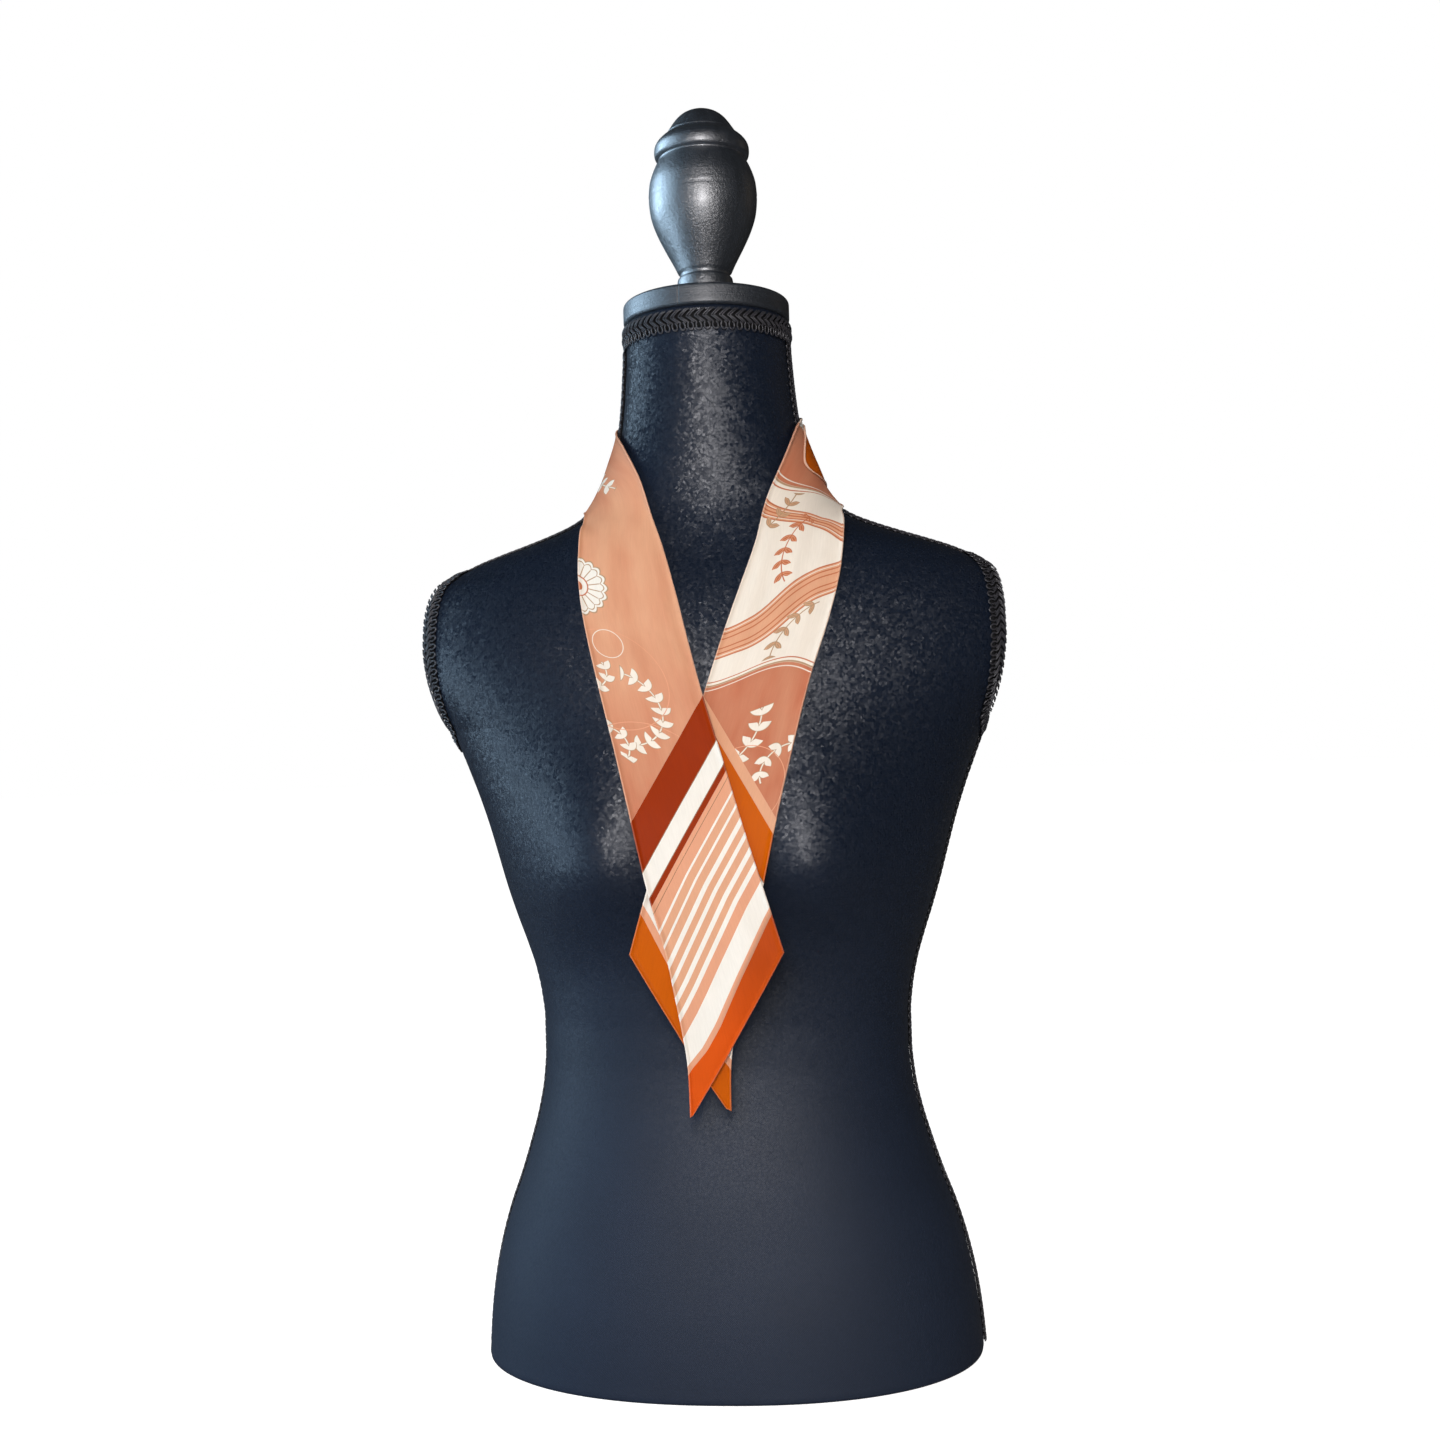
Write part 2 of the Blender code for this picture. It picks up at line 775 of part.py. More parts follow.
def turned_rows(edges):
    """Rows of points across the turned edge, from its free edge to its fold."""
    free = [Vector((row.free_station, row.free_share)) for row in TURNED_EDGE]
    fold = [Vector((row.fold_station, row.fold_share)) for row in TURNED_EDGE]
    rows = []
    for i in range(ROWS_PER_TURNING * (len(TURNED_EDGE) - 1) + 1):
        start = curve_point(free, i / ROWS_PER_TURNING)
        end = curve_point(fold, i / ROWS_PER_TURNING)
        spots = [start.lerp(end, j / TURNED_COLUMNS) for j in range(TURNED_COLUMNS + 1)]
        rows.append(
            [
                above_scarf(edges, RIGHT_SEAM + spot.x, spot.y, SCARF_WALL + TURNED_LAYER)
                for spot in spots
            ]
        )
    return rows


def build_scarf():
    """The scarf, in one piece of cloth for each stretch that shows."""
    peach = material("silk_peach", SILK_PEACH, 0.38)
    rust = material("silk_rust", SILK_RUST, 0.38)
    amber = material("silk_amber", SILK_AMBER, 0.38)
    edges = scarf_edges()
    behind = strip_rows(edges, LEFT_SEAM, RIGHT_SEAM)
    draw_in(behind[0], behind[1])
    draw_in(behind[-1], behind[-2])
    build_cloth("scarf_over", strip_rows(edges, 0, LEFT_SEAM), rust)
    build_cloth("scarf_back", behind, peach)
    build_cloth(
        "scarf_under", strip_rows(edges, RIGHT_SEAM, len(edges[0]) - 1), peach
    )
    build_cloth("scarf_turned_edge", turned_rows(edges), amber)


def main():
    clear_scene()
    part = bpy.data.collections.new(COLLECTION)
    bpy.context.scene.collection.children.link(part)
    jersey = material("jersey_navy", JERSEY_NAVY, 0.85)
    paint = material("satin_black_paint", PAINT_BLACK, 0.35)
    braid = material("gimp_braid_black", BRAID_BLACK, 0.6)
    build_form(jersey)
    build_cap(paint)
    build_finial(paint)
    build_braids(braid)
    build_scarf()


if __name__ == "__main__":
    main()
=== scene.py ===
"""Looks of a silk hair scarf on a limbless dress form.

The form wears fine navy jersey, gimp braid and a turned, painted cap and finial.
The scarf is one sheet of printed silk twill with a rolled hem. It lies round the
neck, crosses on the chest and hangs in two slanted tails.

Tables are in millimetres and degrees, in the frame of the CAD model: +Z is up,
the front faces -Y and the origin is the middle of the flat base.
"""

from math import atan, cos, pi, radians, sin

import bmesh
import bpy
import numpy as np
from bpy.props import FloatProperty, FloatVectorProperty, IntProperty, PointerProperty
from mathutils import Matrix, Vector


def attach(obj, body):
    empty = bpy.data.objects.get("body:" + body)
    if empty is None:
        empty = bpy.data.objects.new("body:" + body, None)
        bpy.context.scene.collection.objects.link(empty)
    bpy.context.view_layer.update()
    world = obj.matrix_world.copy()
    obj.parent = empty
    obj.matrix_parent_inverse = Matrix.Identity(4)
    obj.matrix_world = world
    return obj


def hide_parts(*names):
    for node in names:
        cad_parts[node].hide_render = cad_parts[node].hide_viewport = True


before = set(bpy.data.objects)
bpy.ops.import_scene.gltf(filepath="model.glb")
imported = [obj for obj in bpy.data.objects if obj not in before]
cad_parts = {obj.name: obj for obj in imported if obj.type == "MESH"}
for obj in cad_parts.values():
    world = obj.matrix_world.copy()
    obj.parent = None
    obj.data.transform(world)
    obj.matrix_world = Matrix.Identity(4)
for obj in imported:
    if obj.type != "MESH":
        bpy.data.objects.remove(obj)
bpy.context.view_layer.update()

bl_info = {
    "name": "Hair scarf on a dress form",
    "version": (1, 0, 0),
    "blender": (4, 5, 0),
    "location": "View3D > Sidebar > Dress form",
    "description": "A silk hair scarf on a jersey-covered dress form with braid trim",
    "category": "Object",
}

MM = 0.001

# ---------------------------------------------------------------- the form
# Height of a level, half its width, and its depth to the front and the back.
FORM_LEVELS = np.array([
    (0, 147.4, 98.0, 104.0), (20, 145.8, 97.5, 105.5), (40, 143.2, 96.5, 105.5),
    (60, 139.2, 94.5, 103.0), (82, 133.0, 91.5, 98.0), (104, 125.0, 88.0, 91.5),
    (124, 118.6, 84.0, 85.0), (142, 113.6, 80.5, 79.5), (160, 110.2, 77.5, 75.5),
    (178, 108.8, 76.0, 72.5), (196, 108.8, 76.5, 71.5), (212, 110.4, 78.5, 72.0),
    (228, 113.6, 81.0, 73.5), (244, 118.4, 84.5, 76.0), (260, 123.8, 88.0, 78.5),
    (278, 129.4, 91.0, 81.0), (296, 134.4, 93.0, 83.0), (314, 139.6, 94.0, 84.5),
    (332, 145.6, 94.0, 85.5), (350, 152.4, 92.8, 86.0), (368, 159.4, 90.6, 86.2),
    (386, 165.6, 87.6, 85.8), (404, 169.6, 83.8, 84.6), (420, 171.2, 79.4, 82.6),
    (434, 171.2, 74.6, 80.0), (447, 170.0, 69.2, 77.0), (456, 167.2, 65.0, 74.4),
    (462, 161.8, 62.0, 72.2), (467, 153.6, 59.6, 70.2), (472, 142.6, 57.4, 68.0),
    (477, 128.2, 55.4, 65.8), (482, 112.6, 53.6, 63.6), (487, 98.2, 52.0, 61.6),
    (492, 86.2, 50.6, 59.8), (497, 78.0, 49.6, 58.4), (503, 71.8, 48.8, 57.0),
    (511, 66.6, 48.2, 55.6), (522, 61.9, 47.8, 54.2), (535, 57.4, 47.8, 53.0),
    (548, 53.8, 48.0, 52.0), (562, 51.8, 48.4, 51.0), (580, 50.2, 48.8, 50.0),
    (597, 49.2, 49.0, 49.2), (613.8, 49.0, 49.0, 49.0),
])
# How far from the axis the form's surface is looked for, and in how many halvings.
FORM_REACH = 259.0
HALVINGS = 34
FRONT_SQUARENESS = 2.2
BACK_SQUARENESS = 2.3
SHOULDER_TOP = 455.0
NECK_FOOT = 495.0

ARMHOLE_Z = 417.0
ARMHOLE_HALF_HEIGHT = 46.0
ARMHOLE_HALF_DEPTH = 36.0

BUST_X = 62.0
BUST_Z = 293.0
BUST_RISE = 23.0
BUST_REACH_X = 42.0
BUST_REACH_UP = 54.0
BUST_REACH_DOWN = 36.0

# The cover's lowest level, and the rings below it that turn its edge under: their
# height and how far in they lie.
COVER_EDGE = 1.2
COVER_HEM = ((0.0, 3.0), (0.0, 1.2), (0.5, 0.35))
# Faces round a quarter of the cover: those on its rounded front or back, then
# those on the flat side.
ROUNDED_FACES = 36
FLAT_FACES = 8

# ------------------------------------------------------- turned neck pieces
CAP_BOTTOM = 614.1
CAP_TOP = 627.0
CAP_RADIUS = 50.6
CAP_EDGE = 2.4
CAP_JOINT_ANGLE = -13.6
FINIAL_BOTTOM = 627.3

# Height above the foot and radius of each turned part, from the top down. The
# parts meet in crisp grooves.
DOME = [(120.0, 0.0), (119.2, 5.8), (117.0, 11.0), (114.0, 14.8), (110.6, 17.6),
        (107.6, 19.6), (105.2, 21.2)]
BEAD = [(104.4, 21.0), (102.8, 23.5), (100.2, 26.4), (97.6, 28.3), (95.2, 29.0),
        (92.4, 29.0), (90.4, 28.4), (89.2, 27.0)]
VASE = [(88.4, 26.4), (86.0, 27.9), (83.0, 29.4), (79.0, 31.0), (74.6, 32.3),
        (70.0, 32.9), (64.0, 33.1), (54.2, 32.0), (44.5, 28.8), (34.8, 24.2),
        (25.1, 19.1), (19.6, 16.5)]
FOOT = [(18.4, 15.2), (16.6, 15.1), (15.8, 16.3), (14.2, 16.9), (9.0, 17.4),
        (0.0, 17.4)]
TURNED_LINE_Z = 65.2
TURNED_FACES = 96

# ---------------------------------------------------------------- gimp braid
BRAID_CLEARANCE = 0.12
BRAID_BACKING = 0.85
BRAID_SEAT = BRAID_BACKING - 0.1
# The share of a narrow braid's width that its backing covers.
STRIP_SHARE = 0.76
NECK_BRAID_Z = 605.8
NECK_BRAID_RADIUS = 49.35
NECK_BRAID_WIDTH = 13.2
SEAM_BRAID_WIDTH = 8.0
ARMHOLE_BRAID_WIDTH = 12.0
ARMHOLE_BRAID_INSET = 1.2
# Upper and lower end, how far forward of the seam the braid lies, the size of
# its cords and how deep they sit in their backing.
SHOULDER_BRAID = (599.4, 468.6, 5.6, 1.3, 0.9)
SIDE_BRAID = (360.0, 2.0, 0.0, 1.1, 0.9)

# ---------------------------------------------------------------- the scarf
SCARF_CLEARANCE = 0.6
SCARF_OVER_BRAID = 2.9
SCARF_LAYER = 2.7
LAYER_FADE = (395.0, 425.0)
BRAID_FADE = (440.0, 470.0)

# How far forward the cloth hangs where it bridges the chest and falls free.
FALL_LINE = np.array([
    (130, 111.0), (200, 111.0), (250, 110.8), (275, 109.8), (300, 106.8), (320, 103.0),
    (340, 98.6), (360, 93.8), (380, 88.4), (400, 82.4), (430, 70.0), (470, 45.0),
])

# Both edges of a strap, seen from the front, from the neck to the tail: inner
# x and z, outer x and z, for the strap of the viewer's right.
STRAP = np.array([
    (26.0, 471.0, 77.4, 482.0), (17.2, 443.0, 74.6, 453.0), (8.8, 415.0, 68.4, 425.0),
    (0.0, 385.3, 58.9, 393.0), (-10.5, 350.5, 48.8, 355.0), (-21.0, 314.6, 39.5, 317.0),
    (-32.4, 277.8, 30.8, 279.0), (-41.8, 246.2, 22.2, 248.0), (-30.8, 227.0, 17.8, 225.0),
    (-18.2, 205.6, 14.2, 205.0), (-5.6, 184.2, 11.6, 186.0), (6.8, 163.4, 11.2, 162.6),
])
OVER_TIP = (9.2, 160.6, 11.0, 159.3)
UNDER_TIP = (8.2, 163.4, 11.0, 162.2)
OVER_TUCK = 0.8
TUCK_FADE = (464.0, 487.0)
STRAP_DRIFT = 2.9
DRIFT_FADE = (380.0, 480.0)

# Both edges round the neck: inner angle and height, outer angle and height.
ROUND_NECK = np.array([
    (-31.0, 489.0, -65.5, 488.5), (-42.8, 515.0, -73.5, 495.0), (-58.8, 536.0, -88.0, 499.5),
    (-85.0, 551.0, -107.0, 501.5), (-113.0, 557.0, -127.0, 502.0),
    (-143.0, 559.0, -149.0, 502.5), (-175.0, 560.0, -175.0, 503.0),
    (-207.0, 560.0, -201.0, 506.0), (-237.0, 559.0, -225.0, 509.0),
    (-265.0, 556.0, -244.0, 506.5), (-289.0, 546.0, -261.0, 502.0),
    (-306.0, 526.0, -273.5, 497.0), (-322.0, 498.0, -286.5, 491.5),
])

# Stations of the sheet, counted from the tip of the upper tail.
LEFT_TAIL_END = 13.0
LEFT_SEAM = 15
MIDDLE_STATION = 18.0
RIGHT_SEAM = 21
RIGHT_TAIL_START = 23.0
LAST_STATION = 36
TAIL_CORNERS = (4, 32)
SHEET_WIDTH = 60.0
SHEET_GAP = 0.1
# Rows and columns close to a hem, where the rest start, and the middle, reach and
# rise of the hem's roll.
HEM_STEPS = np.array([0.0, 0.12, 0.35, 0.7, 1.1, 1.5])
HEM_END = 2.2
HEM_ROLL = (0.72, 0.78, 0.62)

# The turned edge: its free edge and its fold, each as stations past the right
# seam and a share of the way across.
TURNED_EDGE = np.array([
    (0.50, 0.89, 0.25, 0.97), (1.35, 0.67, -0.05, 0.97), (1.80, 0.43, -0.35, 0.97),
    (1.80, 0.28, -0.65, 0.97), (1.50, 0.22, -0.95, 0.97), (0.90, 0.17, -1.20, 0.97),
    (0.15, 0.08, -1.50, 0.97), (-0.55, 0.12, -1.80, 0.97), (-1.30, 0.36, -2.05, 0.97),
    (-2.00, 0.70, -2.35, 0.97),
])

# Height of its free hem over the cloth, how much higher its fold lies, and where
# on the sheet its amber side starts.
TURNED_HEIGHT = 0.72
TURNED_RISE = 1.05
TURNED_START = 560.0

# Soft folds of the cloth: first and last station, share of the way across at each, width and
# height.
FOLDS = [
    (0.8, 5.4, 0.28, 0.26, 9.0, 1.50),
    (7.0, 12.6, 0.24, 0.30, 8.0, 1.30),
    (6.6, 11.6, 0.11, 0.15, 2.4, 0.80),
    (9.0, 12.6, 0.74, 0.58, 8.0, 1.40),
    (6.8, 9.6, 0.55, 0.62, 7.0, 0.90),
    (24.4, 28.4, 0.16, 0.20, 4.0, 0.80),
    (4.2, 7.4, 0.62, 0.50, 12.0, 0.30),
    (11.2, 16.2, 0.62, 0.55, 9.0, 0.55),
    (13.4, 18.4, 0.35, 0.38, 8.0, 0.60),
    (15.0, 18.6, 0.70, 0.66, 7.0, 0.45),
    (23.2, 28.0, 0.58, 0.46, 9.0, 1.20),
    (23.8, 28.4, 0.82, 0.76, 6.0, 0.90),
    (27.0, 30.0, 0.50, 0.55, 12.0, 0.30),
]

# Colour bands of a tail, each from its distance in mm above the slanted end. Both
# tails share the stripes in the middle.
SHARED_BANDS = [
    (27.3, "off_white"), (30.0, "peach"), (33.2, "off_white"), (36.0, "peach"),
    (39.9, "off_white"), (41.9, "peach"), (45.2, "off_white"), (47.8, "peach"),
    (52.2, "off_white"), (53.3, "peach"), (57.8, "off_white"), (58.9, "light_peach"),
    (65.8, "fine_line"), (66.3, "light_peach"),
]
OVER_BANDS = [
    (0.0, "orange_red"), (7.4, "light_peach"), (10.6, "off_white"), (21.6, "light_peach"),
    *SHARED_BANDS, (69.2, "rust"), (72.4, "fine_line"), (72.9, "off_white"),
    (82.2, "fine_line"), (82.8, "rust"), (101.0, "peach"),
]
UNDER_BANDS = [
    (0.0, "amber"), (9.0, "light_peach"), (12.7, "off_white"), (22.5, "light_peach"),
    *SHARED_BANDS, (69.2, "amber"), (71.6, "off_white"), (77.6, "fine_line"),
    (78.1, "amber"), (95.8, "peach"),
]
BAND_REACH = 110.0
# How far the bands drift off their slant: distance along the end, then the drift
# close to the end and further up.
BAND_DRIFT = np.array([
    (0.0, 3.2, 1.4), (20.0, 2.4, 0.8), (33.0, -0.7, -0.5), (48.0, -0.9, -0.6),
    (60.0, 0.5, -0.3), (75.0, 1.9, 0.7), (90.0, 2.7, 1.6), (110.0, 4.0, 2.8),
])

# The corner and the slant of a tail's end, and the band value of plain cloth.
BAND_CORNER = (-11.2, 162.6)
BAND_SLANT = (0.5, 0.866)
NO_BAND = 400.0
PRINT_START = 101.5
LEAF_LEAN = radians(46.0)
# Where the ground along the sheet is painted lighter as light from the left, and where it is
# painted deeper again as shade behind the neck.
LIT_PALER_UP = (150.0, 280.0)
SHADED_DEEPER_BEHIND = (430.0, 360.0)
TWILL_PITCH = 0.75

SILK = {
    "peach": (0.640, 0.345, 0.212, 1.0),
    # Painted shade: a deeper copy of the peach for ground out of the light, also in random
    # patches.
    "shaded_deep_peach": (0.450, 0.150, 0.081, 1.0),
    "light_peach": (0.660, 0.325, 0.200, 1.0),
    "off_white": (0.760, 0.755, 0.705, 1.0),
    "orange_red": (0.600, 0.082, 0.0060, 1.0),
    "rust": (0.262, 0.025, 0.0004, 1.0),
    "amber": (0.495, 0.094, 0.0006, 1.0),
    "fine_line": (0.260, 0.140, 0.075, 1.0),
    "tan": (0.400, 0.270, 0.160, 1.0),
    "terracotta": (0.470, 0.150, 0.070, 1.0),
    "cream": (0.750, 0.715, 0.640, 1.0),
    "hem": (0.680, 0.450, 0.340, 1.0),
}

# ------------------------------------------------------------------- jersey
# In metres: its knit, and the heights between which its crinkle comes in.
WALE_PITCH = 0.0011
COURSE_PITCH = 0.0009
CRINKLE_Z = (0.09, 0.34)

# --------------------------------------------------------- camera and lights
CAMERA_DISTANCE = 0.971
CAMERA_SIDE = 5.0
CAMERA_HEIGHT = 0.350
CAMERA_RISE = 39.0 / 1600.0
CAMERA_ROLL = 1.66
CAMERA_LENS = 40.0
CAMERA_SENSOR = 36.0
CAMERA_SHIFT = 2.0 / 1440.0
FLOOR_GLOW = 0.85
FLOOR_DIMMED = 0.85
FLOOR_IN_GLOSS = (0.05, 0.06, 0.08, 1.0)
FLOOR_RINGS = (0.6, 1.4, 3.0, 7.0, 15.0, 30.0)
FLOOR_SIDES = 64
FLOOR_Z = -0.0004
# Panes of the window that gloss shows: degrees left of the front, height of
# the middle, height of the pane, strength, and whether it lights only the wood.
WINDOW_PANES = (
    ("high_far_pane", 102.0, 1.25, 0.90, 2.4, True),
    ("high_middle_pane", 72.0, 1.25, 0.90, 1.2, True),
    ("far_pane", 104.0, 0.84, 0.36, 1.0, False),
    ("low_pane", 82.0, 0.14, 0.26, 0.90, False),
    ("near_pane", 46.0, 0.30, 0.60, 0.12, False),
)
PANE_DISTANCE = 1.7
PANE_WIDTH = 0.85
PANE_COLOUR = (0.55, 0.78, 1.0)
PAINTED_PIECES = ("cap_turned", "finial_turned")
WARM_EDGE_POWER = 0.12


# -------------------------------------------------------------- smooth maths
def fade(value, low, high):
    """Rises smoothly from 0 at low to 1 at high."""
    t = np.clip((value - low) / (high - low), 0.0, 1.0)
    return t * t * (3 - 2 * t)


def table_value(rows, column, position):
    """A column of a table at some positions, on a smooth curve without bumps."""
    keys, values = rows[:, 0], rows[:, column]
    position = np.clip(position, keys[0], keys[-1])
    slot = np.clip(np.searchsorted(keys, position, side="right") - 1, 0, len(keys) - 2)
    gaps = np.diff(keys)
    rises = np.diff(values) / gaps
    product = rises[:-1] * rises[1:]
    total = np.where(product > 0.0, rises[:-1] + rises[1:], 1.0)
    inner = np.where(product > 0.0, 2.0 * product / total, 0.0)
    slopes = np.concatenate([rises[:1], inner, rises[-1:]])
    gap = gaps[slot]
    t = (position - keys[slot]) / gap
    return (
        values[slot] * (1 + 2 * t) * (1 - t) ** 2
        + slopes[slot] * gap * t * (1 - t) ** 2
        + values[slot + 1] * t * t * (3 - 2 * t)
        + slopes[slot + 1] * gap * t * t * (t - 1)
    )


def curve_points(points, positions, corners=()):
    """Points on a smooth curve through a table's rows, sharp at its corners."""
    slot = np.clip(positions.astype(int), 0, len(points) - 2)
    t = (positions - slot)[:, None]
    before = points[np.maximum(slot - 1, 0)]
    start = points[slot]
    end = points[slot + 1]
    after = points[np.minimum(slot + 2, len(points) - 1)]
    for corner in corners:
        before = np.where((slot == corner)[:, None], 2 * start - end, before)
        after = np.where((slot + 1 == corner)[:, None], 2 * end - start, after)
    return 0.5 * (
        2 * start
        + (end - before) * t
        + (2 * before - 5 * start + 4 * end - after) * t * t
        + (3 * start - before - 3 * end + after) * t * t * t
    )


def length_of(vectors):
    """The length of each vector, kept as a last axis of one."""
    return np.maximum(np.linalg.norm(vectors, axis=-1, keepdims=True), 1e-9)


def unit(vectors):
    """Vectors scaled to a length of one."""
    return vectors / length_of(vectors)


def running(steps):
    """The running total of steps along the last axis, from zero."""
    total = np.cumsum(steps, axis=-1)
    return np.concatenate([np.zeros_like(total[..., :1]), total], axis=-1)


def travelled(points):
    """The distance along a path at each of its points."""
    return running(np.linalg.norm(np.diff(points, axis=0), axis=1))


def course(points, closed):
    """The way that a path or the rows of a grid run, at each point."""
    if closed:
        return np.roll(points, -1, axis=0) - np.roll(points, 1, axis=0)
    return np.gradient(points, axis=0)


def directions(points, closed):
    """The direction of a path at each of its points."""
    return unit(course(points, closed))


# ------------------------------------------------------ surface of the form
def squareness(z, full):
    """Sections are round at the neck and squarer below the shoulders."""
    return 2.0 + (full - 2.0) * (1.0 - fade(z, SHOULDER_TOP, NECK_FOOT))


def full_width(half_width, depth, z, square):
    """Half width that a section would have without the flat armholes."""
    rise = np.maximum(1.0 - ((z - ARMHOLE_Z) / ARMHOLE_HALF_HEIGHT) ** 2, 0.0)
    power = squareness(z, square)
    flat = ARMHOLE_HALF_DEPTH * np.sqrt(rise) / depth
    return half_width / (1.0 - flat**power) ** (1.0 / power)


def sections(z):
    """Half width, front, back and both full widths of the form at heights."""
    half_width = table_value(FORM_LEVELS, 1, z)
    front = table_value(FORM_LEVELS, 2, z)
    back = table_value(FORM_LEVELS, 3, z)
    return (
        half_width,
        front,
        back,
        full_width(half_width, front, z, FRONT_SQUARENESS),
        full_width(half_width, back, z, BACK_SQUARENESS),
    )


def bust(x, z):
    """How far the bust stands forward of the plain section."""
    reach_z = np.where(z > BUST_Z, BUST_REACH_UP, BUST_REACH_DOWN)
    fall_z = ((z - BUST_Z) / reach_z) ** 2
    fall_x = ((np.abs(x) - BUST_X) / BUST_REACH_X) ** 2
    return BUST_RISE * np.exp(-fall_x - fall_z)


def outwardness(points, rounded=False):
    """1 on the form's surface, less inside. Rounded leaves out the flat sides."""
    x, y, z = points[..., 0], points[..., 1], points[..., 2]
    half_width, front, back, full_front, full_back = sections(z)
    ahead = y < 0.0
    depth = np.where(ahead, np.maximum(-y - bust(x, z), 0.0) / front, y / back)
    width = np.where(ahead, full_front, full_back)
    power = np.where(
        ahead, squareness(z, FRONT_SQUARENESS), squareness(z, BACK_SQUARENESS)
    )
    share = ((np.abs(x) / width) ** power + np.abs(depth) ** power) ** (1.0 / power)
    if rounded:
        return share
    return np.maximum(share, np.abs(x) / half_width)


def steepest(points, rounded=False):
    """The gradient of the form's outwardness at points."""
    step = 0.6
    found = np.empty_like(points)
    for axis in range(3):
        shift = np.zeros(3)
        shift[axis] = step
        ahead = outwardness(points + shift, rounded)
        behind = outwardness(points - shift, rounded)
        found[..., axis] = (ahead - behind) / (2 * step)
    return found


def outward(points, rounded=False):
    """The direction straight out of the form near points."""
    return unit(steepest(points, rounded))


def set_above(points, height, rounded=False, only_up=False):
    """Moves points until they are at a height above the form."""
    for _ in range(6):
        gradient = steepest(points, rounded)
        steepness = length_of(gradient)
        distance = (outwardness(points, rounded) - 1.0)[..., None] / steepness
        move = np.asarray(height)[..., None] - distance
        if only_up:
            move = np.where(move <= 0.01, 0.0, move)
        points = points + gradient / steepness * move
    return points


def front_depth(x, z):
    """Distance of the form's front from the middle plane."""
    _, front, _, full_front, _ = sections(z)
    power = squareness(z, FRONT_SQUARENESS)
    share = np.maximum(1.0 - (np.abs(x) / full_front) ** power, 0.0)
    return front * share ** (1.0 / power) + bust(x, z)


def points_at_angle(angle, z):
    """The form's surface at angles from the front and heights."""
    across, ahead = np.sin(np.radians(angle)), -np.cos(np.radians(angle))
    low, high = np.full_like(z, 1.0), np.full_like(z, 1.0 + FORM_REACH)
    for _ in range(HALVINGS):
        middle = 0.5 * (low + high)
        spot = np.stack([across * middle, ahead * middle, z], axis=-1)
        inside = outwardness(spot) < 1.0
        low = np.where(inside, middle, low)
        high = np.where(inside, high, middle)
    return np.stack([across * low, ahead * low, z], axis=-1)


# ------------------------------------------------------------- mesh helpers
def grid_faces(rows, columns, start=0, close_rows=False, close_columns=False):
    """Four-sided faces of a grid of points, as indices."""
    row = np.arange(rows if close_rows else rows - 1)[:, None]
    column = np.arange(columns if close_columns else columns - 1)[None, :]
    right, above = (column + 1) % columns, (row + 1) % rows
    corners = [
        row * columns + column,
        row * columns + right,
        above * columns + right,
        above * columns + column,
    ]
    return (start + np.stack(corners, axis=-1).reshape(-1, 4)).tolist()


def facing_out(points, faces):
    """The faces of a closed solid, all reversed if they point inwards."""
    four = np.array([face for face in faces if len(face) == 4])
    a, b, c, d = (points[four[:, i]] for i in range(4))
    volume = (a * np.cross(b, c)).sum() + (a * np.cross(c, d)).sum()
    return faces if volume > 0.0 else [face[::-1] for face in faces]


def make_piece(name, points, faces, surfaces):
    """Adds a smooth-shaded mesh, given in mm, as an object at the origin."""
    data = bpy.data.meshes.new(name)
    data.from_pydata((points * MM).tolist(), [], faces)
    for surface in surfaces:
        data.materials.append(surface)
    data.polygons.foreach_set("use_smooth", np.ones(len(data.polygons), bool))
    data.update()
    piece = bpy.data.objects.new(name, data)
    bpy.context.scene.collection.objects.link(piece)
    return piece


def add_attribute(data, name, values, kind="FLOAT", domain="POINT"):
    """Stores a value for each point of a mesh."""
    made = data.attributes.new(name, kind, domain)
    field = "vector" if kind == "FLOAT_VECTOR" else "value"
    made.data.foreach_set(field, np.asarray(values).ravel())


def set_uv(data, corner_uv):
    """Gives a mesh its UV map, in metres."""
    layer = data.uv_layers.new(name="UVMap")
    layer.data.foreach_set("uv", (corner_uv * MM).astype(np.float32).ravel())


def corner_points(data):
    """The point at each face corner of a mesh, as indices."""
    found = np.zeros(len(data.loops), int)
    data.loops.foreach_get("vertex_index", found)
    return found


# --------------------------------------------------------- material helpers
def add_node(tree, kind, **settings):
    """Adds a node and sets its options."""
    node = tree.nodes.new(kind)
    for name, value in settings.items():
        setattr(node, name, value)
    return node


def feed(tree, socket, source):
    """Links an input to a source, or sets it to a plain value."""
    if isinstance(source, Number):
        source = source.socket
    if isinstance(source, bpy.types.NodeSocket):
        tree.links.new(source, socket)
    else:
        socket.default_value = source


class Number:
    """A number in a node tree, on which sums are written as plain maths."""

    def __init__(self, tree, socket):
        self.tree, self.socket = tree, socket

    def node(self, operation, *others, clamp=False):
        """A math node on this number and some others."""
        made = add_node(self.tree, "ShaderNodeMath", operation=operation, use_clamp=clamp)
        for socket, source in zip(made.inputs, (self, *others)):
            feed(self.tree, socket, source)
        return Number(self.tree, made.outputs[0])

    def __add__(self, other):
        return self.node("ADD", other)

    def __sub__(self, other):
        return self.node("SUBTRACT", other)

    def __mul__(self, other):
        return self.node("MULTIPLY", other)

    def __abs__(self):
        return self.node("ABSOLUTE")

    def wave(self, length):
        """A sine wave of a length."""
        return (self * (2 * pi / length)).node("SINE")

    def larger(self, other):
        """The larger of two numbers."""
        return self.node("MAXIMUM", other)

    def ramp(self, start, end):
        """0 up to the start and 1 from the end, straight between them."""
        slope = 1 / (end - start)
        return self.node("MULTIPLY_ADD", slope, -start * slope, clamp=True)


def radius_of(x, y):
    """The distance of coordinates from their origin."""
    return (x * x + y * y).node("SQRT")


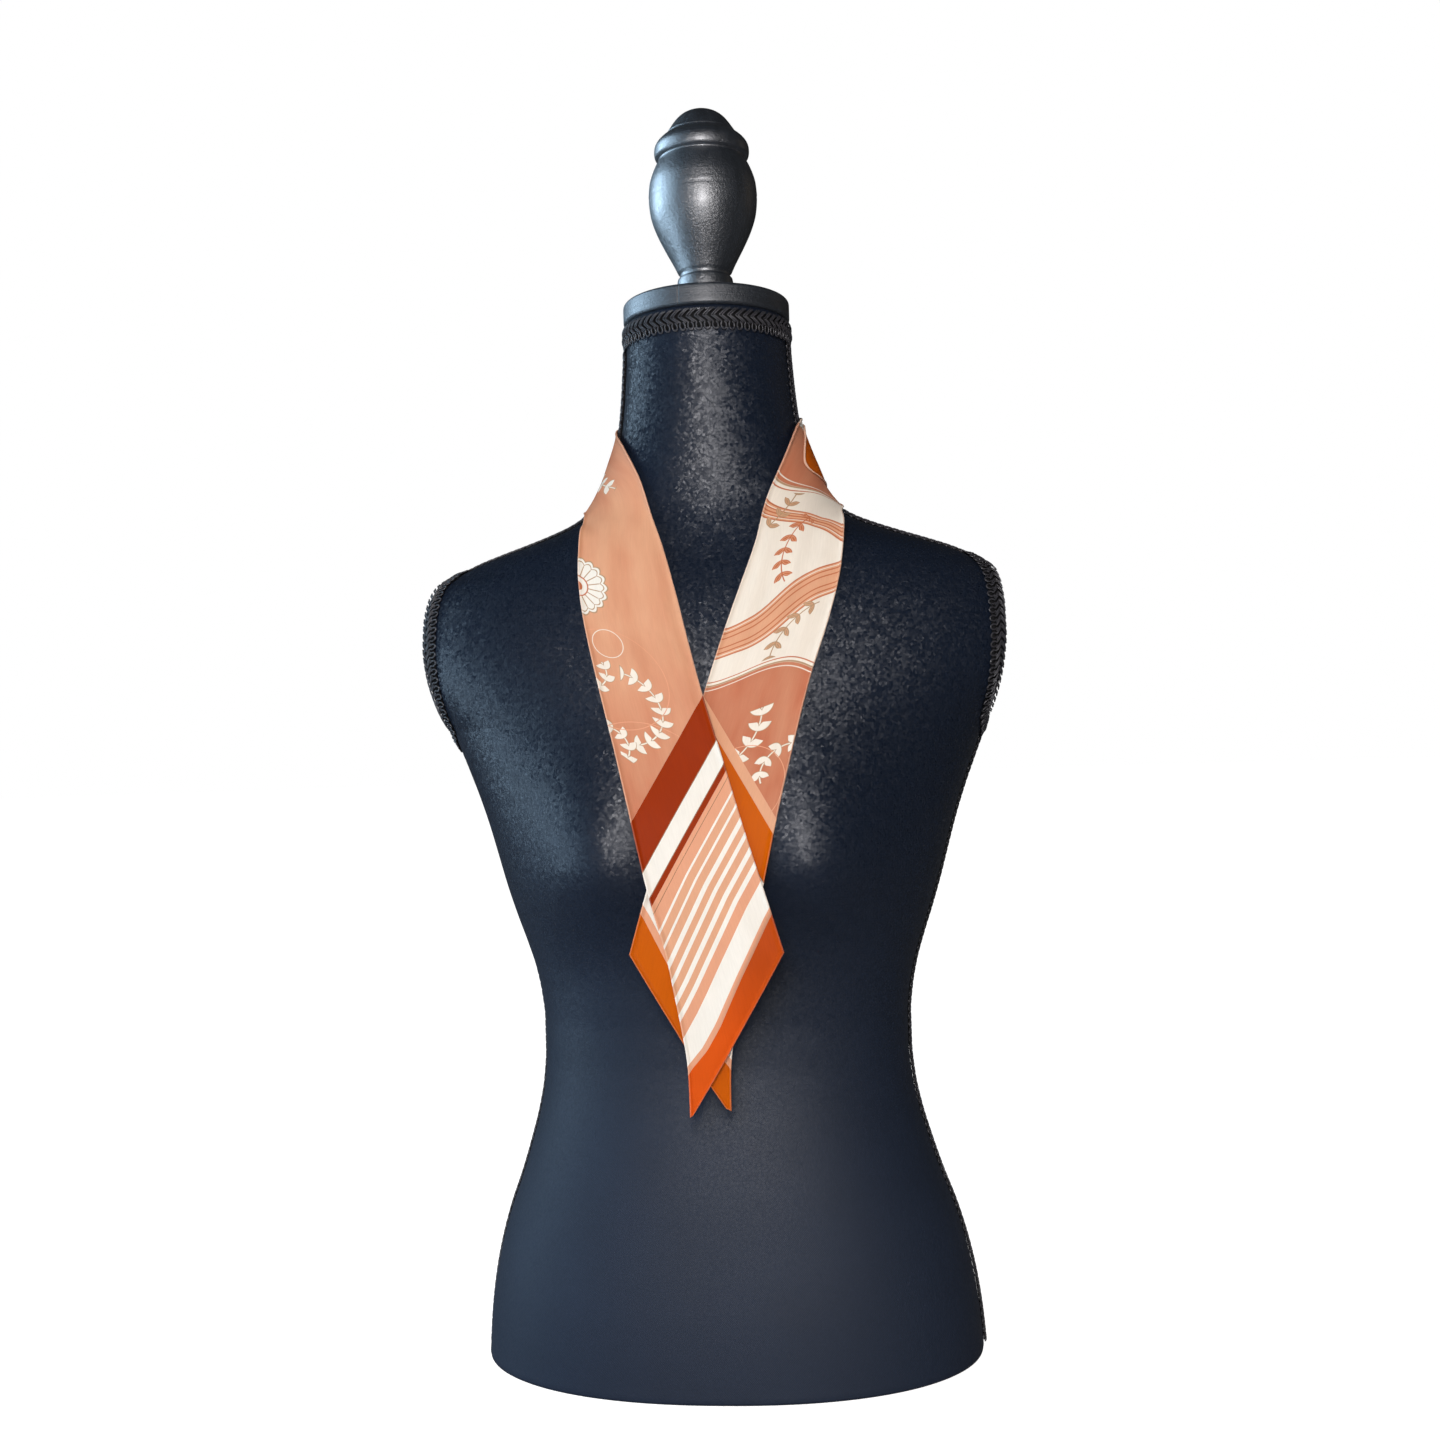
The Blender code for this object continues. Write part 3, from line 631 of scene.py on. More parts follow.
def mixed(tree, share, below, above):
    """A colour between two others."""
    node = add_node(tree, "ShaderNodeMix", data_type="RGBA")
    for slot, source in ((0, share), (6, below), (7, above)):
        feed(tree, node.inputs[slot], source)
    return node.outputs[2]


def noise(tree, place, scale, detail=2.0, roughness=0.5):
    """A noise texture's value."""
    node = add_node(tree, "ShaderNodeTexNoise")
    feed_all(tree, node, Vector=place, Scale=scale, Detail=detail, Roughness=roughness)
    return Number(tree, node.outputs[0])


def vectors(tree, operation, first, second):
    """A vector math node's vector, or its number for a dot product."""
    node = add_node(tree, "ShaderNodeVectorMath", operation=operation)
    feed(tree, node.inputs[0], first)
    feed(tree, node.inputs[3 if operation == "SCALE" else 1], second)
    return node.outputs[1 if operation == "DOT_PRODUCT" else 0]


def split_up(tree, vector):
    """The three numbers of a vector."""
    node = add_node(tree, "ShaderNodeSeparateXYZ")
    feed(tree, node.inputs[0], vector)
    return [Number(tree, output) for output in node.outputs]


def joined(tree, *numbers):
    """A vector of three numbers."""
    node = add_node(tree, "ShaderNodeCombineXYZ")
    for socket, source in zip(node.inputs, numbers):
        feed(tree, socket, source)
    return node.outputs[0]


def bumped(tree, height, distance, strength=1.0, below=None):
    """A normal bent by a height, on top of another if there is one."""
    node = add_node(tree, "ShaderNodeBump")
    feed_all(tree, node, Height=height, Distance=distance, Strength=strength)
    if below is not None:
        feed(tree, node.inputs["Normal"], below)
    return node.outputs[0]


def feed_all(tree, node, **sources):
    """Feeds a node's inputs by their names."""
    for name, source in sources.items():
        feed(tree, node.inputs[name.replace("_", " ")], source)


def start_material(name, **constants):
    """A material and its shader, with constants set on the shader's sockets."""
    made = bpy.data.materials.new(name)
    made.use_nodes = True
    shader = made.node_tree.nodes["Principled BSDF"]
    feed_all(made.node_tree, shader, **constants)
    return made, made.node_tree, shader


def object_place(tree):
    """The Object coordinates of a piece."""
    return add_node(tree, "ShaderNodeTexCoord").outputs["Object"]


def uv_place(tree):
    """The UV map of a piece."""
    return add_node(tree, "ShaderNodeUVMap", uv_map="UVMap").outputs[0]


def attribute(tree, name):
    """A number stored on the mesh."""
    node = add_node(tree, "ShaderNodeAttribute", attribute_name=name)
    return Number(tree, node.outputs["Fac"])


def ray(tree, kind):
    """1 for rays of one kind, and 0 for others."""
    return Number(tree, add_node(tree, "ShaderNodeLightPath").outputs[kind])


def times(colour, factor):
    """A colour made lighter or darker."""
    return tuple(min(value * factor, 1.0) for value in colour[:3]) + (1.0,)


# ---------------------------------------------------------------- materials
def jersey_material(colour):
    """Fine navy-black jersey: knitted wales, a glint broken up by crinkle, soft lint, and painted
    light below the busts.
    """
    made, tree, shader = start_material(
        "jersey_navy", Specular_IOR_Level=0.24, Sheen_Weight=0.01, Sheen_Roughness=0.35,
        Sheen_Tint=(0.5, 0.68, 1.0, 1.0),
    )
    place = object_place(tree)
    # The glint breaks up in a fine crinkle on the neck, and is smoother down to the waist; the
    # same mask sets the painted light and shade of the colour.
    crinkle_and_shade = split_up(tree, place)[2].ramp(*CRINKLE_Z)
    u, v, _ = split_up(tree, uv_place(tree))
    knit = u.wave(WALE_PITCH) * v.wave(COURSE_PITCH)
    warped = vectors(tree, "ADD", place, noise(tree, place, 300.0) * 0.0016)
    cell = add_node(tree, "ShaderNodeTexVoronoi", feature="F1")
    feed_all(tree, cell, Vector=warped, Scale=640.0)
    # Each cell of the crinkle is a small facet that leans its own way.
    lean = vectors(tree, "SUBTRACT", cell.outputs["Color"], (0.5, 0.5, 0.5))
    within = vectors(tree, "SUBTRACT", warped, cell.outputs["Position"])
    facet = Number(tree, vectors(tree, "DOT_PRODUCT", within, lean))
    normal = bumped(tree, facet * crinkle_and_shade, 0.26)
    normal = bumped(tree, noise(tree, place, 760.0, 2.0, 0.6), 0.00004, 0.7, normal)
    normal = bumped(tree, knit, 0.00004, 0.6, normal)
    lint = noise(tree, place, 26.0, 3.0) * 0.5 + (noise(tree, place, 1900.0, 1.0) * 0.8 + 0.15)
    toned = mixed(tree, lint, times(colour, 0.6), times(colour, 1.3))
    shade = add_node(tree, "ShaderNodeSeparateColor")
    feed(tree, shade.inputs[0], cell.outputs["Color"])
    rough = (Number(tree, shade.outputs[0]) * 0.16 - 0.31) * crinkle_and_shade + 0.57
    # Painted light: the base colour is lighter below the busts, where the cloth catches more of
    # the blue light, and darker on the neck and chest as painted shade.
    feed_all(
        tree, shader, Normal=normal,
        Base_Color=vectors(tree, "SCALE", toned, crinkle_and_shade * -0.65 + 1.50),
        Roughness=Number(tree, cell.outputs["Distance"]) * 0.12 + rough,
    )
    return made


def painted_wood(name, colour, along_rim):
    """Satin black paint on turned wood, its grain and tool lines showing."""
    gloss, coat, dull = (0.56, 0.22, 0.34) if along_rim else (0.82, 0.66, 0.25)
    around, upright, grain = (1.1, 620.0, 0.00042) if along_rim else (7.0, 60.0, 0.00026)
    made, tree, shader = start_material(
        name, Specular_IOR_Level=gloss, Coat_Weight=coat, Coat_Roughness=0.36
    )
    place = object_place(tree)
    x, y, z = split_up(tree, place)
    angle, radius = x.node("ARCTAN2", y), radius_of(x, y)
    turned = joined(tree, angle * around, z * upright, radius * upright)
    streaks = noise(tree, turned, 1.0, 4.0, 0.65)
    lines = noise(tree, joined(tree, 0.0, z * 1400.0, radius * 1400.0), 1.0)
    mottle = noise(tree, place, 520.0, 3.0, 0.75)
    normal = bumped(tree, streaks * 0.8 + lines * 0.5, grain, 0.8)
    feed_all(
        tree, shader, Normal=bumped(tree, mottle, 0.00050, 0.9, normal),
        Base_Color=mixed(tree, streaks, times(colour, 0.7), times(colour, 1.9)),
        Roughness=mottle * 0.12 + (streaks * 0.24 + dull),
    )
    return made


def gimp_material(colour):
    """Twisted black rayon cord."""
    made, tree, shader = start_material(
        "gimp_cord_black", Specular_IOR_Level=0.38, Sheen_Weight=0.02, Sheen_Roughness=0.4,
        Sheen_Tint=(0.8, 0.86, 1.0, 1.0),
    )
    place = object_place(tree)
    twist, lint = noise(tree, place, 1900.0, 1.0), noise(tree, place, 420.0)
    feed_all(
        tree, shader, Normal=bumped(tree, twist, 0.00022, 0.7), Roughness=twist * 0.3 + 0.26,
        Base_Color=mixed(tree, lint, times(colour, 0.6), times(colour, 2.6)),
    )
    return made


def shaded_ground_material():
    """The flat woven ground under the braid's cords, painted far darker than the black cord as the
    shade in the gaps between cords.
    """
    made, tree, shader = start_material("gimp_ground_black", Specular_IOR_Level=0.15)
    weave = noise(tree, object_place(tree), 1500.0)
    # Painted shade: these blacks are far darker than the cord's own black.
    dark, bright = (0.0006, 0.0007, 0.0010, 1.0), (0.0024, 0.0026, 0.0036, 1.0)
    feed_all(
        tree, shader, Normal=bumped(tree, weave, 0.0003, 0.8), Roughness=weave * 0.2 + 0.7,
        Base_Color=mixed(tree, weave, dark, bright),
    )
    return made


def start_silk(name, sheen, tint):
    """Silk twill: fine diagonal ribs, a slack weave and a soft gloss that varies over the cloth.
    """
    made, tree, shader = start_material(
        name, Specular_IOR_Level=0.03, Sheen_Weight=sheen, Sheen_Roughness=0.3,
        Sheen_Tint=tint,
    )
    along, across = (number * (1 / MM) for number in split_up(tree, uv_place(tree))[:2])
    rib = (across * 1.6 + along).wave(TWILL_PITCH)
    cloth = joined(tree, along, across, 0.0)
    slub = noise(tree, vectors(tree, "MULTIPLY", cloth, (0.10, 1.1, 1.0)), 1.0, 3.0, 0.6)
    ripple = noise(tree, vectors(tree, "MULTIPLY", cloth, (0.022, 0.075, 1.0)), 1.0)
    normal = None
    for height, distance, strength in (
        (ripple, 0.0011, 0.6), (slub, 0.00008, 0.5), (rib, 0.00002, 0.5)
    ):
        normal = bumped(tree, height, distance, strength, normal)
    feed_all(tree, shader, Normal=normal, Roughness=slub * 0.16 + 0.42)
    return made, tree, shader, along, across, (slub, ripple, rib)


def rim(distance, width, offset=0.0):
    """The distance from an outline round a shape."""
    return abs(distance - offset) - width / 2


class Print:
    """Lays generic motifs of the silk print over each other, in millimetres."""

    def __init__(self, tree, along, across, ground):
        self.tree, self.colour = tree, ground
        self.cloth = joined(tree, along, across, 0.0)

    def place(self, at, turn=0.0):
        """Coordinates round a spot of the cloth, turned by some degrees."""
        centre = (*at, 0.0)
        spin = add_node(self.tree, "ShaderNodeVectorRotate", rotation_type="Z_AXIS")
        feed_all(self.tree, spin, Vector=self.cloth, Center=centre, Angle=radians(turn))
        away = vectors(self.tree, "SUBTRACT", spin.outputs[0], centre)
        return split_up(self.tree, away)[:2]

    def polar(self, at, turn=0.0):
        """The angle and the distance round a spot of the cloth."""
        x, y = self.place(at, turn)
        return y.node("ARCTAN2", x), radius_of(x, y)

    def paint(self, distance, colour):
        """Prints a colour where a distance is below zero."""
        share = distance.ramp(0.125, -0.125)
        self.colour = mixed(self.tree, share, self.colour, SILK[colour])

    def sprig(self, at, radius, middle, half_sweep, pitch, leaf):
        """A curved stem with a pair of leaves at each pitch, in degrees."""
        angle, distance = self.polar(at, -middle)
        ends = abs(angle) * radius - radians(half_sweep) * radius
        step = radians(pitch) / 2
        along = angle.node("WRAP", step, -step) * radius
        away = abs(distance - radius)
        lean, rise = cos(LEAF_LEAN), sin(LEAF_LEAN)
        reach = along * lean + away * rise - leaf[0] * 0.42
        aside = away * lean - along * rise
        # A leaf is pointed at both ends.
        share = reach * (2.0 / leaf[0])
        shape = abs(aside) + (share * share * (leaf[1] / 2) - leaf[1] / 2)
        return shape.larger(ends), (away - 0.35).larger(ends)

    def fan(self, at, radius, ribs):
        """A scalloped fan: its outline, its ribs and its radius."""
        angle, distance = self.polar(at)
        scallop = abs((angle * (ribs / 2)).node("SINE"))
        edge = scallop * (radius * -0.12) + distance - radius
        step = pi / ribs
        rib = abs(angle.node("WRAP", step, -step)) * distance - 0.3
        return edge, rib, distance


def banded(tree, stripe, bands):
    """The colour of a tail's bands at a distance above its slanted end."""
    ramp = add_node(tree, "ShaderNodeValToRGB")
    ramp.color_ramp.interpolation = "CONSTANT"
    feed(tree, ramp.inputs[0], stripe.node("DIVIDE", BAND_REACH))
    stops = ramp.color_ramp.elements
    for i, (start, colour) in enumerate(bands):
        stop = stops[i] if i < 2 else stops.new(start / BAND_REACH)
        stop.position = start / BAND_REACH
        stop.color = SILK[colour]
    return ramp.outputs[0]


def lay_print(tree, along, across, ground, length):
    """A generic print of sprigs, fans and ribbons in the colours of the silk."""
    design = Print(tree, along, across, ground)

    # The viewer's right strap: an off-white ground with ribbons and sprigs.
    middle = length - 312.0
    x, y = design.place((middle, 30.0), 8.0)
    panel = abs(y.wave(88.0) * 7.0 + x) - 66.0
    inside = panel + 4.6
    design.paint(panel, "cream")
    for width, offset, colour in (
        (1.0, -0.6, "tan"), (0.7, -3.0, "terracotta"), (0.6, 2.2, "cream")
    ):
        design.paint(rim(panel, width, offset), colour)
    for at, turn, sway, wavelength, widths in (
        ((middle + 26.0, 30.0), 62.0, 3.4, 64.0, (10.0, 6.6, 3.2)),
        ((middle - 40.0, 26.0), -58.0, 2.6, 72.0, (4.4, 2.2, 0.0)),
    ):
        x, y = design.place(at, turn)
        off = abs(x.wave(wavelength) * -sway + y)
        design.paint((off - widths[0]).larger(inside), "peach")
        for width in widths:
            design.paint(rim(off, 0.9, width).larger(inside), "terracotta")
        design.paint(rim(off, 0.5, widths[0] - 1.6).larger(inside), "cream")
    for colour, *sprig in (
        ("terracotta", (middle - 8.0, 58.0), 34.0, -104.0, 42.0, 15.0, (8.6, 3.4)),
        ("tan", (middle + 54.0, 62.0), 30.0, -120.0, 40.0, 17.0, (8.0, 3.0)),
        ("tan", (middle - 62.0, -6.0), 34.0, 66.0, 30.0, 15.0, (8.0, 3.2)),
    ):
        shape, stem = (part.larger(inside) for part in design.sprig(*sprig))
        design.paint(stem, colour)
        design.paint(shape, colour)
        design.paint(rim(shape, 0.3, -0.9), "peach")

    # Sprigs of off-white leaves on the peach ground, over the whole length.
    for sprig in (
        ((228.0, 49.0), 22.0, -95.0, 84.0, 20.0, (9.2, 4.0)),
        ((205.0, 62.0), 11.0, -60.0, 70.0, 38.0, (7.2, 3.4)),
        ((250.0, 64.0), 11.0, -120.0, 60.0, 38.0, (7.0, 3.4)),
        ((length - 216.0, 8.0), 30.0, 62.0, 44.0, 18.0, (10.0, 4.4)),
        ((length - 186.0, 60.0), 15.0, -120.0, 58.0, 32.0, (7.4, 3.6)),
        ((392.0, 4.0), 32.0, 70.0, 50.0, 17.0, (9.4, 4.0)),
        ((470.0, 62.0), 34.0, -76.0, 46.0, 16.0, (9.4, 4.0)),
        ((552.0, 2.0), 32.0, 84.0, 50.0, 17.0, (9.4, 4.0)),
    ):
        shape, stem = design.sprig(*sprig)
        for part, outline in ((stem, 0.25), (shape, 0.35)):
            design.paint(part - outline, "tan")
            design.paint(part, "cream")

    # Scalloped fans at the outer edge.
    for at, radius, ribs in (
        ((304.0, 61.0), 16.5, 18.0), ((430.0, 61.0), 13.0, 16.0),
        ((512.0, -2.0), 13.0, 16.0), ((length - 422.0, -2.0), 13.0, 16.0),
    ):
        edge, rib, distance = design.fan(at, radius, ribs)
        for shape, colour in (
            (edge - 0.9, "tan"),
            (edge, "off_white"),
            (rib.larger(edge + 2.6).larger(distance * -1.0 + radius * 0.42), "tan"),
            (rim(edge, 0.7, -1.9), "tan"),
            (rim(distance, 0.8, radius * 0.40), "terracotta"),
            (distance - radius * 0.2, "terracotta"),
        ):
            design.paint(shape, colour)

    # Thin pale circles that link the motifs.
    for at, radius, colour in (
        ((246.0, 50.0), 31.0, "light_peach"), ((180.0, 44.0), 40.0, "light_peach"),
        ((268.0, 48.0), 9.0, "cream"), ((length - 176.0, 34.0), 26.0, "light_peach"),
    ):
        design.paint(rim(design.polar(at)[1], 0.45, radius), colour)
    return design.colour


def silk_print_material(length):
    """Printed silk twill: banded tails, a generic print, a rolled hem, and painted light and shade
    on the cloth.
    """
    made, tree, shader, along, across, (slub, ripple, rib) = start_silk(
        "silk_print", 0.004, (1.0, 0.92, 0.86, 1.0)
    )
    stripe = attribute(tree, "stripe_mm")
    over, under = banded(tree, stripe, OVER_BANDS), banded(tree, stripe, UNDER_BANDS)
    is_over = attribute(tree, "strap").node("GREATER_THAN", 0.0)
    # Painted light and shade: the viewer's left strap is painted lighter up to the neck, where
    # light from the left falls, and deeper behind it; the rest of the ground is painted deeper as
    # shade, over a random patchy tone.
    lit_paler = along.ramp(*LIT_PALER_UP) * along.ramp(*SHADED_DEEPER_BEHIND)
    uneven_and_shaded = lit_paler.node("MULTIPLY_ADD", -0.66, ripple + 0.30, clamp=True)
    ground = mixed(tree, uneven_and_shaded, SILK["peach"], SILK["shaded_deep_peach"])
    printed = lay_print(tree, along, across, ground, length)
    above = stripe.node("GREATER_THAN", PRINT_START)
    colour = mixed(tree, above, mixed(tree, is_over, under, over), printed)
    hem = attribute(tree, "edge_mm").ramp(2.6 / 3, 1.6 / 3) * (above * 0.32 + 0.14)
    colour = mixed(tree, hem, colour, SILK["hem"])
    # Painted shade: the colour of the upper tail is darkened near the corner of its slanted hem,
    # where the cloth turns away from the light.
    turned = along.ramp(40.0, 80.0) * stripe.ramp(10.5, 8.0) * is_over
    shade = ripple * 0.10 + (rib * 0.012 + (slub * 0.16 + 0.85)) + turned * -0.30
    feed_all(tree, shader, Base_Color=vectors(tree, "SCALE", colour, shade))
    return made


def silk_amber_material():
    """The amber wrong side of the silk, with a pale rolled hem."""
    made, tree, shader, _, _, weave = start_silk("silk_amber", 0.003, (1.0, 0.85, 0.7, 1.0))
    colour = mixed(tree, weave[0], times(SILK["amber"], 0.8), SILK["amber"])
    hem = attribute(tree, "edge_mm").ramp(4.2 / 3, 3.2 / 3)
    feed_all(tree, shader, Base_Color=mixed(tree, hem, colour, SILK["hem"]))
    return made


# --------------------------------------------------------------- the pieces
def form_rings(heights):
    """Points of the form's sections at heights, each ring from the back."""
    z = heights[:, None]
    half_width, front, back, full_front, full_back = sections(z)
    faces = ROUNDED_FACES + FLAT_FACES
    step = np.arange(faces + 1)[None, :]
    rounded = np.minimum(step / ROUNDED_FACES, 1.0)
    flat = np.clip((step - ROUNDED_FACES) / FLAT_FACES, 0.0, 1.0)

    def quarter(full, depth, square, ahead):
        power = squareness(z, square)
        rim = np.arcsin(np.clip((half_width / full) ** (power / 2.0), 0.0, 1.0))
        rim = np.minimum(rim, pi / 2 * ROUNDED_FACES / faces)
        turn = rim * rounded + (pi / 2 - rim) * flat
        x = np.minimum(full * np.sin(turn) ** (2.0 / power), half_width)
        y = depth * np.abs(np.cos(turn)) ** (2.0 / power)
        if ahead:
            y = y + bust(x, z) * fade(np.cos(turn), 0.0, 0.25)
        y[:, -1] = 0.0
        return x, -y if ahead else y

    front_x, front_y = quarter(full_front, front, FRONT_SQUARENESS, True)
    back_x, back_y = quarter(full_back, back, BACK_SQUARENESS, False)
    x = np.hstack([-back_x, -front_x[:, -2::-1], front_x[:, 1:], back_x[:, -2:0:-1]])
    y = np.hstack([back_y, front_y[:, -2::-1], front_y[:, 1:], back_y[:, -2:0:-1]])
    return np.stack([x, y, np.broadcast_to(z, x.shape)], axis=-1)


def even_heights(count):
    """Heights spaced evenly along the form's side profile."""
    fine = np.linspace(0.0, FORM_LEVELS[-1, 0], 2600)
    half_width = table_value(FORM_LEVELS, 1, fine)
    steps = np.hypot(np.diff(fine), np.diff(half_width))
    length = running(steps)
    return np.interp(np.linspace(0.0, length[-1], count), length, fine)


def build_cover(settings):
    """The jersey cover, tight on the form, its lower edge turned under."""
    heights = even_heights(settings.cover_rings)
    rings = form_rings(heights)
    columns = rings.shape[1]
    edge = form_rings(np.array([COVER_EDGE]))[0]
    hem = []
    for height, inset in COVER_HEM:
        ring = edge * (1.0 - inset / length_of(edge * (1.0, 1.0, 0.0)))
        ring[:, 2] = height
        hem.append(ring)
    rings = np.concatenate([np.array(hem), rings[heights > COVER_EDGE]])
    rows = rings.shape[0]
    points = rings.reshape(-1, 3)
    faces = facing_out(points, grid_faces(rows, columns, close_columns=True))
    turned = faces[0][0] != 0
    faces.append(list(range(columns)) if turned else list(range(columns))[::-1])
    top = list(range((rows - 1) * columns, rows * columns))
    faces.append(top[::-1] if turned else top)
    piece = make_piece("form_cover", points, faces, [jersey_material(settings.jersey)])
    around = running(np.linalg.norm(np.roll(rings, -1, axis=1) - rings, axis=2))
    around -= around[:, -1:] / 2
    up = travelled(rings[:, columns // 2])
    corners = np.zeros((len(piece.data.loops), 2))
    row, column = np.divmod(corner_points(piece.data), columns)
    for polygon in piece.data.polygons:
        at = np.arange(polygon.loop_start, polygon.loop_start + polygon.loop_total)
        here = column[at]
        if polygon.loop_total == 4 and here.max() - here.min() > 2:
            here = np.where(here == 0, columns, here)
        corners[at, 0] = around[row[at], here]
        corners[at, 1] = up[row[at]]
    set_uv(piece.data, corners)
    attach(piece, "root")
    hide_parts("form_body")
    return piece


def turned_profile(parts, steps):
    """A smooth profile through each turned part in turn."""
    pieces = []
    for part in parts:
        rows = np.array(part)
        positions = np.linspace(0, len(rows) - 1, (len(rows) - 1) * steps + 1)
        pieces.append(curve_points(rows, positions))
    return np.concatenate(pieces)


def turn_round(name, profile, angles, surface, groove=None):
    """Turns a profile of height and radius, from pole to pole, round the axis."""
    z, radius = profile[1:-1, 0], profile[1:-1, 1]
    radius = np.broadcast_to(radius[:, None], (len(z), len(angles))).copy()
    if groove is not None:
        radius -= groove(z[:, None], angles[None, :])
    level = np.broadcast_to(z[:, None], radius.shape)
    x, y = radius * np.sin(angles), -radius * np.cos(angles)
    points = np.stack([x, y, level], axis=-1).reshape(-1, 3)
    rows, columns = len(z), len(angles)
    poles = np.array([(0.0, 0.0, profile[0, 0]), (0.0, 0.0, profile[-1, 0])])
    points = np.concatenate([points, poles])
    faces = facing_out(points, grid_faces(rows, columns, close_columns=True))
    forward = faces[0][1] - faces[0][0] in (1, 1 - columns)
    for column in range(columns):
        after = (column + 1) % columns
        low = (rows - 1) * columns
        top = [rows * columns, column, after]
        foot = [rows * columns + 1, low + after, low + column]
        faces.append(top[::-1] if forward else top)
        faces.append(foot[::-1] if forward else foot)
    return make_piece(name, points, faces, [surface])


def build_cap(settings):
    """The round wooden cap with its eased rim and the joint of its band."""
    rim = []
    for i in range(9):
        angle = pi / 2 * i / 8
        rim.append((CAP_EDGE * (1 - cos(angle)), CAP_RADIUS - CAP_EDGE * (1 - sin(angle))))
    inner = np.linspace(8.0, CAP_RADIUS - CAP_EDGE - 1.5, 6)
    upper = [(CAP_TOP, 0.0)] + [(CAP_TOP, r) for r in inner]
    upper += [(CAP_TOP - drop, radius) for drop, radius in rim]
    side = [(CAP_TOP - CAP_EDGE - (i + 1) * 1.6, CAP_RADIUS) for i in range(4)]
    lower = [(CAP_BOTTOM + drop, radius) for drop, radius in reversed(rim)]
    lower += [(CAP_BOTTOM, r) for r in inner[::-1]] + [(CAP_BOTTOM, 0.0)]
    profile = np.array(upper + side + lower)
    joint = radians(CAP_JOINT_ANGLE)
    near = joint + np.array([-0.016, -0.006, -0.003, 0.0, 0.003, 0.006, 0.016])
    rest = joint + np.linspace(0.045, 2 * pi - 0.045, 126)
    angles = np.concatenate([near, rest])

    def groove(z, angle):
        away = np.abs(angle - joint) / 0.0045
        return 0.42 * np.maximum(1.0 - away, 0.0) * np.ones_like(z)

    paint = painted_wood("satin_black_cap", settings.paint, True)
    piece = turn_round("cap_turned", profile, angles, paint, groove)
    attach(piece, "root")
    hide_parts("neck_cap")
    return piece


def build_finial(settings):
    """The turned finial: dome, bead, vase with its fine line, and foot."""
    profile = turned_profile([DOME, BEAD, VASE, FOOT], 6)
    profile = np.concatenate([profile, [[0.0, 0.0]]])
    profile[:, 0] += FINIAL_BOTTOM
    angles = np.linspace(0.0, 2 * pi, TURNED_FACES, endpoint=False)

    def groove(z, angle):
        away = np.abs(z - FINIAL_BOTTOM - TURNED_LINE_Z) / 0.9
        return 0.28 * np.maximum(1.0 - away, 0.0) * np.ones_like(angle)

    paint = painted_wood("satin_black_finial", settings.paint, False)
    piece = turn_round("finial_turned", profile, angles, paint, groove)
    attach(piece, "root")
    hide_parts("finial")
    return piece


# -------------------------------------------------------------------- braid
def spaced_evenly(points, pitch, closed):
    """Points of a fine path at an even pitch, as near as a whole count allows."""
    if closed:
        points = np.concatenate([points, points[:1]])
    length = travelled(points)
    count = max(int(round(length[-1] / pitch)), 3)
    wanted = (np.arange(count) + (0.0 if closed else 0.5)) * length[-1] / count
    return np.stack([np.interp(wanted, length, points[:, i]) for i in range(3)], axis=1)


